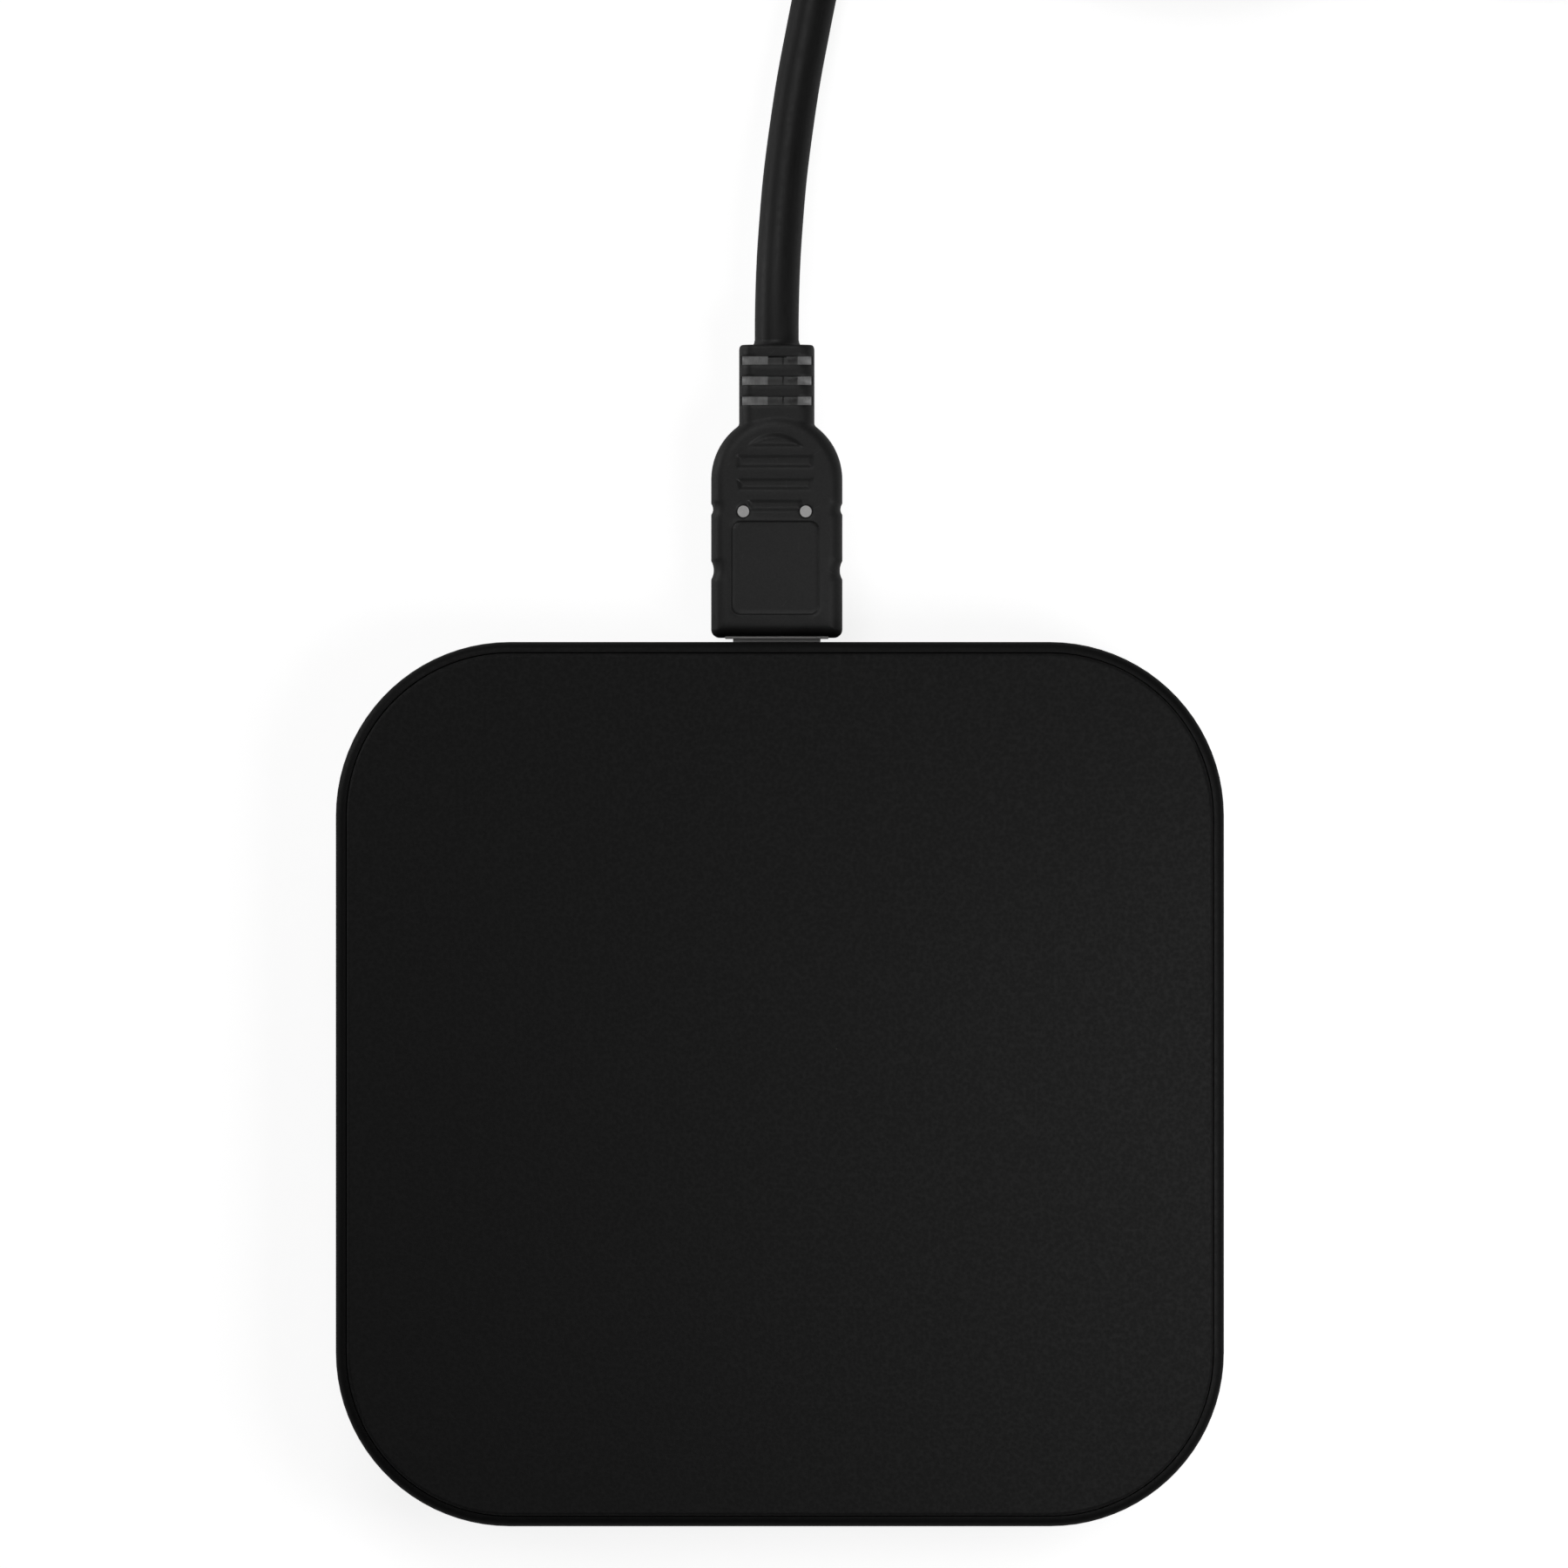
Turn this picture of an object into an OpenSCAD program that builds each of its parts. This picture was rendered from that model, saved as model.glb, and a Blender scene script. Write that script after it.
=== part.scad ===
/* [Housing] */
// Width of the housing, left to right
body_w = 140; // [138:0.5:144]
// Depth of the housing, front to rear
body_d = 139.4; // [138:0.2:144]
// Radius of the four vertical corners
corner_r = 27.4; // [26:0.2:29]
// Overall height on its feet
body_h = 25; // [25:0.5:28]
// Thickness of the side wall
wall = 2.4; // [2.2:0.1:2.6]
// Width of the dark rim left around the top panel
rim_w = 1.8; // [1.7:0.05:2]
// Width of the shadow groove between rim and top panel
groove_w = 0.15; // [0.1:0.05:0.2]
// Edge rounding of the top panel
panel_edge_r = 0.6; // [0.4:0.1:0.8]
// Shoulder radius of the side frame
shoulder_r = 1.55; // [1.4:0.05:1.6]
// Height by which the top panel stands over the rim
panel_proud = 0.7; // [0.5:0.1:1]

/* [Feet and screws] */
// Diameter of a rubber foot
foot_d = 14; // [12:0.5:15]
// Height of the underside above the table
foot_stand = 1.6; // [1.4:0.1:2]
// Distance of a foot centre from the middle, in X and in Y
foot_xy = 43.8; // [42:0.2:45]
// Distance of a case screw from the middle, in X and in Y
screw_xy = 55.7; // [55:0.1:56]
// Shank diameter of a case screw
screw_d = 2.5; // [2.2:0.1:2.6]

/* [Circuit board] */
// Width of the main board
pcb_w = 94; // [92:1:96]
// Rear edge of the main board
pcb_y1 = 63.5; // [62.5:0.5:64]
// Front edge of the main board
pcb_y0 = -58; // [-60:1:-56]
// Thickness of the main board
pcb_t = 1.6; // [1.2:0.2:1.6]
// Height of the board's top face
pcb_top = 8.1; // [8.1:0.1:8.3]

/* [Rear ports] */
// Centre of the video socket and its plug
video_x = -0.5; // [-1.5:0.5:1]
// Height of the video socket's centre
video_z = 11.1; // [11:0.1:11.3]
// Centre of the network socket
net_x = -27; // [-28:0.5:-26.5]
// Centre of the data socket
data_x = 20; // [19.5:0.5:21]
// Centre of the power inlet
power_x = 35; // [35:0.5:36]
// Centre of the reset button
reset_x = -14.8; // [-15:0.1:-14.6]
// Travel of the reset button
reset_travel = 0.4; // [0.2:0.05:0.4]

/* [Video lead] */
// Diameter of the lead's jacket
cord_d = 7; // [6.6:0.1:7]
// Width of the moulded plug
plug_w = 20.8; // [20.6:0.1:21]
// Thickness of the moulded plug
plug_t = 11; // [10.6:0.1:11]
// Length of the plug's straight part
plug_straight = 25.1; // [24.5:0.1:25.5]
// Width of the strain relief
relief_w = 11.9; // [11.8:0.1:12]
// Thickness of the strain relief
relief_t = 10; // [9.6:0.1:10.2]
// Length from the plug's front face to the end of the strain relief
plug_len = 46.4; // [46:0.1:47]
// Length of the metal shell that enters a socket
shell_len = 11.7; // [11:0.1:12]

/* [Hidden] */
$fn = 72;
e = 0.01;

base_z0 = foot_stand;
base_z1 = foot_stand + 2;
frame_z0 = base_z1 + 0.05;
panel_z0 = body_h - 2.5;
rim_top = body_h - panel_proud;
rear_y = body_d / 2;
inner_y = body_d / 2 - wall;
inner_x = body_w / 2 - wall;
board_z0 = pcb_top - pcb_t;
board_screw_x = 41;
board_screw_ys = [-50, 47];
plug_y = rear_y + 0.9;
peg_xs = [-5.3, 4.6];
peg_y = 19.9;
window_ys = [36.8, 40, 43.2];
soc_x = -4;
soc_y = 12;
// Centre line of the lead from the strain relief to the coil
LEAD = [[-0.5, 115, 11.1], [-0.5, 121, 11.1], [-0.4, 126, 10.9], [-0.2, 131, 10.3],
  [0.2, 137, 9.3], [0.8, 144, 7.9], [1.8, 152, 6.3], [3, 160, 5], [4.3, 167, 4.2],
  [5.9, 175, 3.7], [8, 184, 3.5], [10.5, 194, 3.5], [13.3, 204, 3.5],
  [16.7, 215, 3.6], [20.1, 225, 4], [24.1, 235.6, 4.5]];
// Centre line from the coil to the far plug
TAIL = [[63, 262, 11.5], [69, 262, 11.5], [75, 262, 11.3], [81, 262, 10.5], [87, 262, 9],
  [92, 262, 7.6], [100.6, 260.6, 6.1], [108.5, 256.7, 5.5], [114.7, 250.5, 5.5],
  [118.6, 242.7, 5.5], [120, 234, 5.5], [120, 232, 5.5]];
coil_c = [63, 220];
coil_mid_r = 35;
coil_z = 1;
// Inner antenna leads, from the wireless module to the two side walls
COAX_L = [[-37, -30, 12], [-40, -30, 12.6], [-45, -29, 13], [-51, -27, 13],
  [-57, -25, 13], [-62, -24, 13.4], [-66.5, -24, 13.6]];
COAX_R = [[-23, -30, 12], [-20, -30.5, 12.6], [-14, -32, 13], [-4, -34, 13], [8, -35, 13],
  [20, -35, 13], [32, -34, 13], [43, -32, 13], [53, -29, 13], [60, -26, 13.4], [66.5, -24.5, 13.6]];

// ---------- shared shapes ----------

// Flat rounded rectangle about the middle
module rrect(w, d, r) {
  square([w - 2 * r, d], center = true);
  square([w, d - 2 * r], center = true);
  for (sx = [-1, 1], sy = [-1, 1]) translate([sx * (w / 2 - r), sy * (d / 2 - r)]) circle(r);
}

// A section drawn outward-negative is carried round a rounded rectangle
module around(w, d, r) {
  for (q = [0:3]) {
    sx = (q == 0 || q == 3) ? 1 : -1;
    sy = (q < 2) ? 1 : -1;
    translate([sx * (w / 2 - r), sy * (d / 2 - r), 0]) rotate([0, 0, 90 * q])
      rotate_extrude(angle = 90) translate([r, 0]) children();
  }
  for (s = [0, 1]) {
    mirror([s, 0, 0]) translate([w / 2, d / 2 - r, 0]) rotate([90, 0, 0])
      linear_extrude(d - 2 * r) children();
    mirror([0, s, 0]) rotate([0, 0, 90]) translate([d / 2, w / 2 - r, 0]) rotate([90, 0, 0])
      linear_extrude(w - 2 * r) children();
  }
}

// Slot with round ends along X
module slot2d(l, w) {
  square([l - w, w], center = true);
  for (s = [-1, 1]) translate([s * (l - w) / 2, 0]) circle(w / 2);
}

function unit(v) = v / norm(v);
function tangent(p, i) = unit(i == 0 ? p[1] - p[0] : i == len(p) - 1 ? p[i] - p[i - 1] : p[i + 1] - p[i - 1]);
function side_of(t) = unit(cross(t, [0, 0, 1]));

// Round tube of n sides along a route of points
module tube_along(p, d, n) {
  k = len(p);
  pts = [for (i = [0:k - 1]) let (t = tangent(p, i), s = side_of(t), u = cross(s, t))
    for (j = [0:n - 1]) p[i] + d / 2 * (cos(360 * j / n) * s + sin(360 * j / n) * u)];
  sides = [for (i = [0:k - 2]) for (j = [0:n - 1]) let (a = i * n + j, b = i * n + (j + 1) % n)
    each [[a, b, b + n], [a, b + n, a + n]]];
  polyhedron(points = pts, faces = concat([[for (j = [0:n - 1]) n - 1 - j]], sides,
    [[for (j = [0:n - 1]) (k - 1) * n + j]]), convexity = 6);
}

// Box given by its two corners
module box(a, b) { translate(a) cube(b - a); }

// ---------- housing ----------

// Grained top plate with its rounded edge and the four screw posts beneath it
module top_panel() {
  w = body_w - 2 * rim_w;
  d = body_d - 2 * rim_w;
  r = corner_r - rim_w;
  f = panel_edge_r;
  color([0.10, 0.10, 0.10]) difference() {
    union() {
      around(w, d, r) {
        translate([-3, panel_z0]) square([3, 2.5 - f]);
        translate([-3, panel_z0]) square([3 - f, 2.5]);
        translate([-f, body_h - f]) circle(f);
      }
      translate([0, 0, panel_z0]) linear_extrude(2.5) rrect(w - 5, d - 5, r - 2.5);
      for (sx = [-1, 1], sy = [-1, 1]) translate([sx * screw_xy, sy * screw_xy, base_z1 + 1.6])
        cylinder(d = 6.8, h = panel_z0 - base_z1 - 1.6 + 0.5);
    }
    for (sx = [-1, 1], sy = [-1, 1]) translate([sx * screw_xy, sy * screw_xy, base_z1])
      cylinder(d = screw_d, h = 13);
  }
}

// Side wall with its rounded rim, the ledge under the top panel and the rear openings
module side_frame() {
  sr = shoulder_r;
  color([0.07, 0.07, 0.07]) difference() {
    around(body_w, body_d, corner_r) difference() {
      union() {
        translate([-wall, frame_z0 + 1]) square([wall, rim_top - sr - frame_z0 - 1]);
        translate([-wall, frame_z0]) square([wall - 1, 2]);
        translate([-1, frame_z0 + 1]) circle(1);
        translate([-wall, rim_top - sr - 1]) square([wall - sr, sr + 1]);
        translate([-sr, rim_top - sr]) circle(sr);
        polygon([[-wall + 0.1, panel_z0 - 2.6], [-wall, panel_z0 - 2.6], [-3.8, panel_z0 - 1.2],
          [-3.8, panel_z0], [-wall + 0.1, panel_z0]]);
      }
      translate([-6, panel_z0]) square([6 - rim_w + groove_w, 6]);
    }
    // video socket
    box([video_x - 7.8, inner_y - 1, video_z - 3], [video_x + 7.8, rear_y + 1, video_z + 3]);
    // network socket
    box([net_x - 8.15, inner_y - 3, pcb_top - 0.15], [net_x + 8.15, rear_y + 1, pcb_top + 13.75]);
    // data socket
    box([data_x - 6.95, inner_y - 1, pcb_top + 0.2], [data_x + 6.95, rear_y + 1, pcb_top + 6.6]);
    // power inlet
    translate([power_x, inner_y - 1, pcb_top + 6.5]) rotate([-90, 0, 0]) cylinder(d = 8.2, h = wall + 2);
    // reset button
    translate([reset_x, inner_y - 1, pcb_top + 3]) rotate([-90, 0, 0]) cylinder(d = 3.1, h = wall + 2);
    // front window
    translate([0, -inner_y + 1, 13]) rotate([90, 0, 0]) linear_extrude(wall + 2) slot2d(30, 8);
  }
}

// Bottom tray with vents, foot recesses, board standoffs and a locating wall
module base_cover() {
  w = body_w - 3;
  d = body_d - 3;
  r = corner_r - 1.5;
  color([0.09, 0.09, 0.09]) difference() {
    union() {
      around(w, d, r) {
        translate([-4, base_z0 + 1]) square([4, base_z1 - base_z0 - 1]);
        translate([-4, base_z0]) square([3, base_z1 - base_z0]);
        translate([-1, base_z0 + 1]) circle(1);
        translate([-2.5, base_z1 - 0.5]) square([1.5 - e, 4.3]);
      }
      translate([0, 0, base_z0]) linear_extrude(base_z1 - base_z0) rrect(w - 7, d - 7, r - 3.5);
      for (sx = [-1, 1], sy = [-1, 1]) translate([sx * screw_xy, sy * screw_xy, base_z0 + 0.5])
        cylinder(d = 8, h = base_z1 - base_z0 + 1.1);
      for (sx = [-1, 1], y = board_screw_ys) translate([sx * board_screw_x, y, base_z0 + 0.5])
        cylinder(d = 6, h = board_z0 - base_z0 - 0.5);
    }
    for (sx = [-1, 1], sy = [-1, 1]) {
      translate([sx * screw_xy, sy * screw_xy, 0]) {
        cylinder(d = screw_d + 0.5, h = 10);
        cylinder(d = 5.6, h = base_z0 + 1.8);
      }
      translate([sx * foot_xy, sy * foot_xy, 0]) cylinder(d = foot_d, h = base_z0 + 0.6);
    }
    for (sx = [-1, 1], y = board_screw_ys) translate([sx * board_screw_x, y, base_z0 + 1])
      cylinder(d = 2, h = 10);
    for (i = [-6:6], y = [-14, 14]) translate([i * 4.5, y, 0])
      linear_extrude(6) rotate(90) slot2d(22, 2);
  }
}

// Four round feet pressed into the underside
module rubber_feet() {
  color([0.13, 0.13, 0.13]) for (sx = [-1, 1], sy = [-1, 1]) translate([sx * foot_xy, sy * foot_xy, 0])
    rotate_extrude() {
      square([foot_d / 2 - 0.6, foot_stand + 0.6]);
      translate([0, 0.6]) square([foot_d / 2, foot_stand]);
      translate([foot_d / 2 - 0.6, 0.6]) circle(0.6);
    }
}

// Cross-headed screw with its head at the bottom, tip up
module screw(d, hd, hh, l) {
  difference() {
    union() {
      cylinder(d = hd, h = hh);
      translate([0, 0, hh - e]) cylinder(d = d, h = l + e);
    }
    for (a = [0, 90]) rotate(a) translate([-hd * 0.3, -hd * 0.07, -1]) cube([hd * 0.6, hd * 0.14, 1 + hh * 0.55]);
  }
}

module case_screws() {
  color([0.25, 0.25, 0.27]) for (sx = [-1, 1], sy = [-1, 1])
    translate([sx * screw_xy, sy * screw_xy, base_z0 + 0.2]) screw(screw_d, 5, 1.6, 11);
}

// Dark lens in the front wall that lets the remote control's light in
module front_window() {
  color([0.12, 0.03, 0.05]) translate([0, -inner_y, 13]) rotate([90, 0, 0]) {
    linear_extrude(wall - 0.2) slot2d(29.8, 7.8);
    translate([0, 0, -1]) linear_extrude(1) slot2d(33, 11);
  }
}

// Clear pipe from the status lamp to the window
module light_pipe() {
  color([0.8, 0.85, 0.9]) {
    translate([6, -inner_y + 1, 13]) rotate([-90, 0, 0]) cylinder(d = 2.6, h = 7);
    box([4.7, -inner_y + 5, 9.6], [7.3, -inner_y + 8.2, 13.6]);
  }
}

// ---------- electronics ----------

module main_board() {
  color([0.05, 0.25, 0.14]) difference() {
    translate([0, (pcb_y0 + pcb_y1) / 2, board_z0]) linear_extrude(pcb_t) rrect(pcb_w, pcb_y1 - pcb_y0, 3);
    for (sx = [-1, 1], y = board_screw_ys) translate([sx * board_screw_x, y, 0]) cylinder(d = 2.8, h = 20);
    for (s = [-1, 1]) translate([soc_x + s * 19, soc_y + s * 19, 0]) cylinder(d = 3, h = 20);
  }
}

module board_screws() {
  color([0.75, 0.75, 0.72]) for (sx = [-1, 1], y = board_screw_ys)
    translate([sx * board_screw_x, y, pcb_top + 1.5]) mirror([0, 0, 1]) screw(2, 4.4, 1.5, 4.6);
}

// Finned cooler over the processor
module heat_sink() {
  color([0.66, 0.67, 0.70]) difference() {
    union() {
      box([soc_x - 22, soc_y - 22, pcb_top + 2.1], [soc_x + 22, soc_y + 22, pcb_top + 4.1]);
      for (i = [0:8]) box([soc_x - 22 + i * 5.35, soc_y - 15, pcb_top + 4], [soc_x - 20.8 + i * 5.35, soc_y + 15, pcb_top + 11]);
    }
    for (s = [-1, 1]) translate([soc_x + s * 19, soc_y + s * 19, 0]) cylinder(d = 3, h = 20);
  }
}

module heat_sink_pins() {
  color([0.9, 0.9, 0.88]) for (s = [-1, 1]) translate([soc_x + s * 19, soc_y + s * 19, 0]) {
    translate([0, 0, pcb_top + 4.1]) cylinder(d = 5, h = 1.6);
    translate([0, 0, board_z0 - 1]) cylinder(d = 2.8, h = pcb_top + 4.2 - board_z0 + 1);
  }
}

module thermal_pad() {
  color([0.55, 0.7, 0.75]) box([soc_x - 8, soc_y - 8, pcb_top + 1.4], [soc_x + 8, soc_y + 8, pcb_top + 2.1]);
}

module processor() {
  color([0.08, 0.08, 0.09]) {
    box([soc_x - 8, soc_y - 8, pcb_top], [soc_x + 8, soc_y + 8, pcb_top + 0.6]);
    box([soc_x - 7, soc_y - 7, pcb_top + 0.5], [soc_x + 7, soc_y + 7, pcb_top + 1.4]);
  }
}

module chip(x, y, w, d, h) {
  difference() {
    box([x - w / 2, y - d / 2, pcb_top], [x + w / 2, y + d / 2, pcb_top + h]);
    translate([x - w / 2 + 1.4, y + d / 2 - 1.4, pcb_top + h - 0.12]) cylinder(d = 0.9, h = 1);
  }
}

module memory_chips() {
  color([0.1, 0.1, 0.11]) for (x = [-32, 22], y = [5, 18]) chip(x + soc_x + 5, y, 8, 11, 1.1);
}

module storage_chip() {
  color([0.1, 0.1, 0.11]) chip(16, -20, 11.5, 13, 1);
}

// Radio board under its metal can, with the two lead sockets
module wireless_module() {
  color([0.72, 0.72, 0.72]) {
    box([-40, -34, pcb_top], [-20, -20, pcb_top + 0.8]);
    difference() {
      box([-38.5, -32.8, pcb_top + 0.8 - e], [-21.5, -21, pcb_top + 2.6]);
      for (x = [-34:4:-26], y = [-29.5, -25]) translate([x, y, pcb_top + 2.4]) cylinder(d = 1, h = 1);
    }
    for (x = [-37, -23]) translate([x, -30, pcb_top + 2.6 - e]) cylinder(d = 2, h = 0.5);
  }
}

// Antenna strip on the inside of a side wall
module antenna(s) {
  color([0.75, 0.6, 0.2]) mirror([s, 0, 0]) difference() {
    box([-inner_x, -42, 10], [-inner_x + 0.8, -6, 19]);
    box([-inner_x - 1, -40, 15], [-inner_x + 2, -16, 17]);
  }
}

module left_antenna() { antenna(0); }
module right_antenna() { antenna(1); }

module antenna_leads() {
  color([0.15, 0.15, 0.16]) {
    tube_along(COAX_L, 1.3, 8);
    tube_along(COAX_R, 1.3, 8);
  }
}

// Moulded power inductors with a chamfered top
module power_inductors() {
  color([0.3, 0.3, 0.31]) for (p = [[36, 38], [36, 28], [36, 18]]) translate([p[0], p[1], pcb_top])
    difference() {
      translate([-3.5, -3.5, 0]) cube([7, 7, 3.2]);
      for (a = [45:90:315]) rotate(a) translate([4.3, -5, -1]) cube([5, 10, 6]);
    }
}

// Can capacitors on square plastic seats
module capacitors() {
  color([0.7, 0.7, 0.72]) for (p = [[36, 6], [36, -4], [36, -14], [-38, 36]]) translate([p[0], p[1], pcb_top]) {
    translate([-3.3, -3.3, 0]) cube([6.6, 6.6, 1]);
    cylinder(d = 6.3, h = 7.4);
  }
}

module ir_receiver() {
  color([0.08, 0.07, 0.08]) {
    box([-8.5, -56, pcb_top], [-3.5, -53.2, pcb_top + 7]);
    translate([-6, -56, pcb_top + 4.6]) sphere(d = 3.6);
  }
}

module status_led() {
  color([0.9, 0.95, 0.85]) box([5, -57, pcb_top], [7, -55.6, pcb_top + 1.2]);
}

// ---------- rear sockets ----------

// Outline of the video interface: flat top, lower corners cut back
module video_outline(w, h) {
  polygon([[-w / 2, h / 2], [w / 2, h / 2], [w / 2, -h / 2 + 1.9], [w / 2 - 0.9, -h / 2 + 1],
    [w / 2 - 1.9, -h / 2], [-w / 2 + 1.9, -h / 2], [-w / 2 + 0.9, -h / 2 + 1], [-w / 2, -h / 2 + 1.9]]);
}

// Outline carried along Y from y0 to y1, centred on x and z
module along_y(x, y0, y1, z) {
  translate([x, y1, z]) rotate([90, 0, 0]) linear_extrude(y1 - y0) children();
}

module video_socket() {
  color([0.75, 0.75, 0.76]) {
    difference() {
      union() {
        along_y(video_x, 56.5, rear_y - 0.4, video_z) video_outline(14.8, 5.35);
        for (s = [-1, 1], y = [58, 62]) translate([video_x + s * 7 - 0.4, y - 0.7, pcb_top]) cube([0.8, 1.4, 2.2]);
        along_y(video_x, rear_y - 0.8, rear_y - 0.4, video_z) difference() {
          square([15.4, 5.9], center = true);
          square([14.2, 4.8], center = true);
        }
      }
      along_y(video_x, 57.5, rear_y + 1, video_z) video_outline(14.2, 4.75);
    }
  }
}

module video_socket_tongue() {
  color([0.1, 0.1, 0.1]) {
    box([video_x - 5.7, 57.5, video_z - 0.5], [video_x + 5.7, 67.8, video_z + 0.5]);
    along_y(video_x, 57.5, 58.4, video_z) video_outline(14, 4.5);
  }
}

module network_socket() {
  color([0.7, 0.7, 0.7]) difference() {
    box([net_x - 8, 48, pcb_top], [net_x + 8, rear_y - 0.4, pcb_top + 13.5]);
    box([net_x - 5.9, 54.5, pcb_top + 3.6], [net_x + 5.9, rear_y + 1, pcb_top + 11.2]);
    box([net_x - 3.2, 57, pcb_top + 1.9], [net_x + 3.2, rear_y + 1, pcb_top + 4]);
    box([net_x - 1.9, 57, pcb_top + 0.9], [net_x + 1.9, rear_y + 1, pcb_top + 2.4]);
  }
}

// Eight contact wires over the back of the cavity
module network_contacts() {
  color([0.85, 0.7, 0.3]) for (i = [0:7]) box([net_x - 3.75 + i * 1.02, 54.5, pcb_top + 10.6], [net_x - 3.35 + i * 1.02, 66, pcb_top + 11]);
}

module data_socket() {
  color([0.75, 0.75, 0.76]) {
    difference() {
      box([data_x - 6.6, 54.5, pcb_top + 0.4], [data_x + 6.6, rear_y - 0.4, pcb_top + 6.2]);
      box([data_x - 6.25, 55.5, pcb_top + 0.75], [data_x + 6.25, rear_y + 1, pcb_top + 5.85]);
    }
    for (s = [-1, 1], y = [57, 62]) box([data_x + s * 6.4 - 0.4, y - 1, pcb_top], [data_x + s * 6.4 + 0.4, y + 1, pcb_top + 0.5]);
  }
}

module data_socket_tongue() {
  color([0.9, 0.9, 0.9]) box([data_x - 5.6, 55.5, pcb_top + 3.7], [data_x + 5.6, 68, pcb_top + 5.55]);
}

module power_inlet() {
  color([0.08, 0.08, 0.08]) difference() {
    union() {
      box([power_x - 4.5, 55, pcb_top], [power_x + 4.5, inner_y - 0.2, pcb_top + 11]);
      translate([power_x, 60, pcb_top + 6.5]) rotate([-90, 0, 0]) cylinder(d = 7.9, h = rear_y - 60.3);
    }
    translate([power_x, 58.5, pcb_top + 6.5]) rotate([-90, 0, 0]) cylinder(d = 5.9, h = 20);
  }
}

module power_inlet_pin() {
  color([0.8, 0.8, 0.78]) translate([power_x, 56, pcb_top + 6.5]) rotate([-90, 0, 0]) {
    translate([0, 0, 2.5]) cylinder(d = 2.1, h = 9);
    translate([0, 0, 11.5 - e]) sphere(d = 2.1);
  }
}

// Side-push switch behind the reset button
module reset_switch() {
  color([0.15, 0.15, 0.16]) {
    box([reset_x - 3, 60, pcb_top], [reset_x + 3, 63.5, pcb_top + 5]);
    translate([reset_x, 63.4, pcb_top + 3]) rotate([-90, 0, 0]) cylinder(d = 2, h = 0.5);
  }
}

// Button with a retaining flange inside the wall
module reset_button() {
  color([0.2, 0.2, 0.2]) translate([reset_x, 0, pcb_top + 3]) rotate([-90, 0, 0]) {
    translate([0, 0, 64.35]) cylinder(d = 2.8, h = rear_y - 64.35 - 0.25);
    translate([0, 0, inner_y - 1.1]) cylinder(d = 4.6, h = 1);
  }
}

// ---------- video lead ----------
// A plug's own frame: front face at y = 0, lead leaving towards +Y

// Plan of the moulding: straight sides, half-round shoulders, grip notches at the sides
module plug_plan() {
  difference() {
    union() {
      translate([0, plug_straight / 2]) square([plug_w, plug_straight - 2.6], center = true);
      translate([0, plug_straight / 2]) square([plug_w - 2.6, plug_straight], center = true);
      translate([0, plug_straight - 2]) square([plug_w, 4], center = true);
      for (s = [-1, 1]) translate([s * (plug_w / 2 - 1.3), 1.3]) circle(1.3);
      translate([0, plug_straight]) circle(plug_w / 2);
      translate([-relief_w / 2, plug_straight]) square([relief_w, plug_len - plug_straight]);
    }
    for (s = [-1, 1]) {
      translate([s * (plug_w / 2 + 2.6), 10.7]) circle(3);
      translate([s * (plug_w / 2 + 1.3), 20.4]) circle(1.6);
    }
  }
}

module moulding() {
  color([0.12, 0.12, 0.12]) difference() {
    intersection() {
      union() {
        along_y(0, 0, plug_straight, 0) rrect(plug_w, plug_t, 1.8);
        translate([0, plug_straight, 0]) rotate_extrude(angle = 180) intersection() {
          rrect(plug_w, plug_t, 1.8);
          translate([0, -plug_t]) square([plug_w, 2 * plug_t]);
        }
        along_y(0, plug_straight, plug_len, 0) rrect(relief_w, relief_t, 2.6);
      }
      translate([0, 0, -plug_t]) linear_extrude(2 * plug_t) plug_plan();
    }
    // room for the can and the inner mould
    box([-8.2, -1, -3.7], [8.2, 23.6, 3.7]);
    box([-5.5, 23, -3.35], [5.5, plug_len - 1.3, 3.35]);
    translate([0, plug_len - 2, 0]) rotate([-90, 0, 0]) cylinder(d = cord_d, h = 3);
    // windows in the strain relief, above and below
    for (y = window_ys, s = [0, 1]) mirror([0, 0, s]) box([-5.55, y, 3], [5.55, y + 1.4, 8]);
    // recessed panel and grip grooves, above and below
    for (s = [0, 1]) mirror([0, 0, s]) {
      translate([-0.25, 10.95, plug_t / 2 - 0.35]) linear_extrude(2) rrect(13.9, 14.9, 0.9);
      for (g = [[26.8, 2.1, 12.2], [23.3, 1.9, 12.2], [19.9, 1.9, 8.6], [30.1, 1.9, 8]])
        translate([-0.3, g[0] + g[1] / 2, plug_t / 2 - 0.35]) linear_extrude(2) square([g[2], g[1]], center = true);
    }
    for (x = peg_xs) translate([x, peg_y, 0]) cylinder(d = 2.2, h = 10);
  }
}

// Stamped can around the contacts, with two pegs that show in the round holes
module can() {
  color([0.8, 0.8, 0.8]) difference() {
    union() {
      box([-8.2, -0.15, -3.7], [8.2, 23.6, 3.7]);
      for (x = peg_xs) translate([x, peg_y, 3]) cylinder(d = 1.85, h = plug_t / 2 - 3.15);
    }
    box([-7.85, 0.4, -3.35], [7.85, 24, 3.35]);
    along_y(0, -1, 1, 0) video_outline(13.9, 4.45);
  }
}

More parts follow.
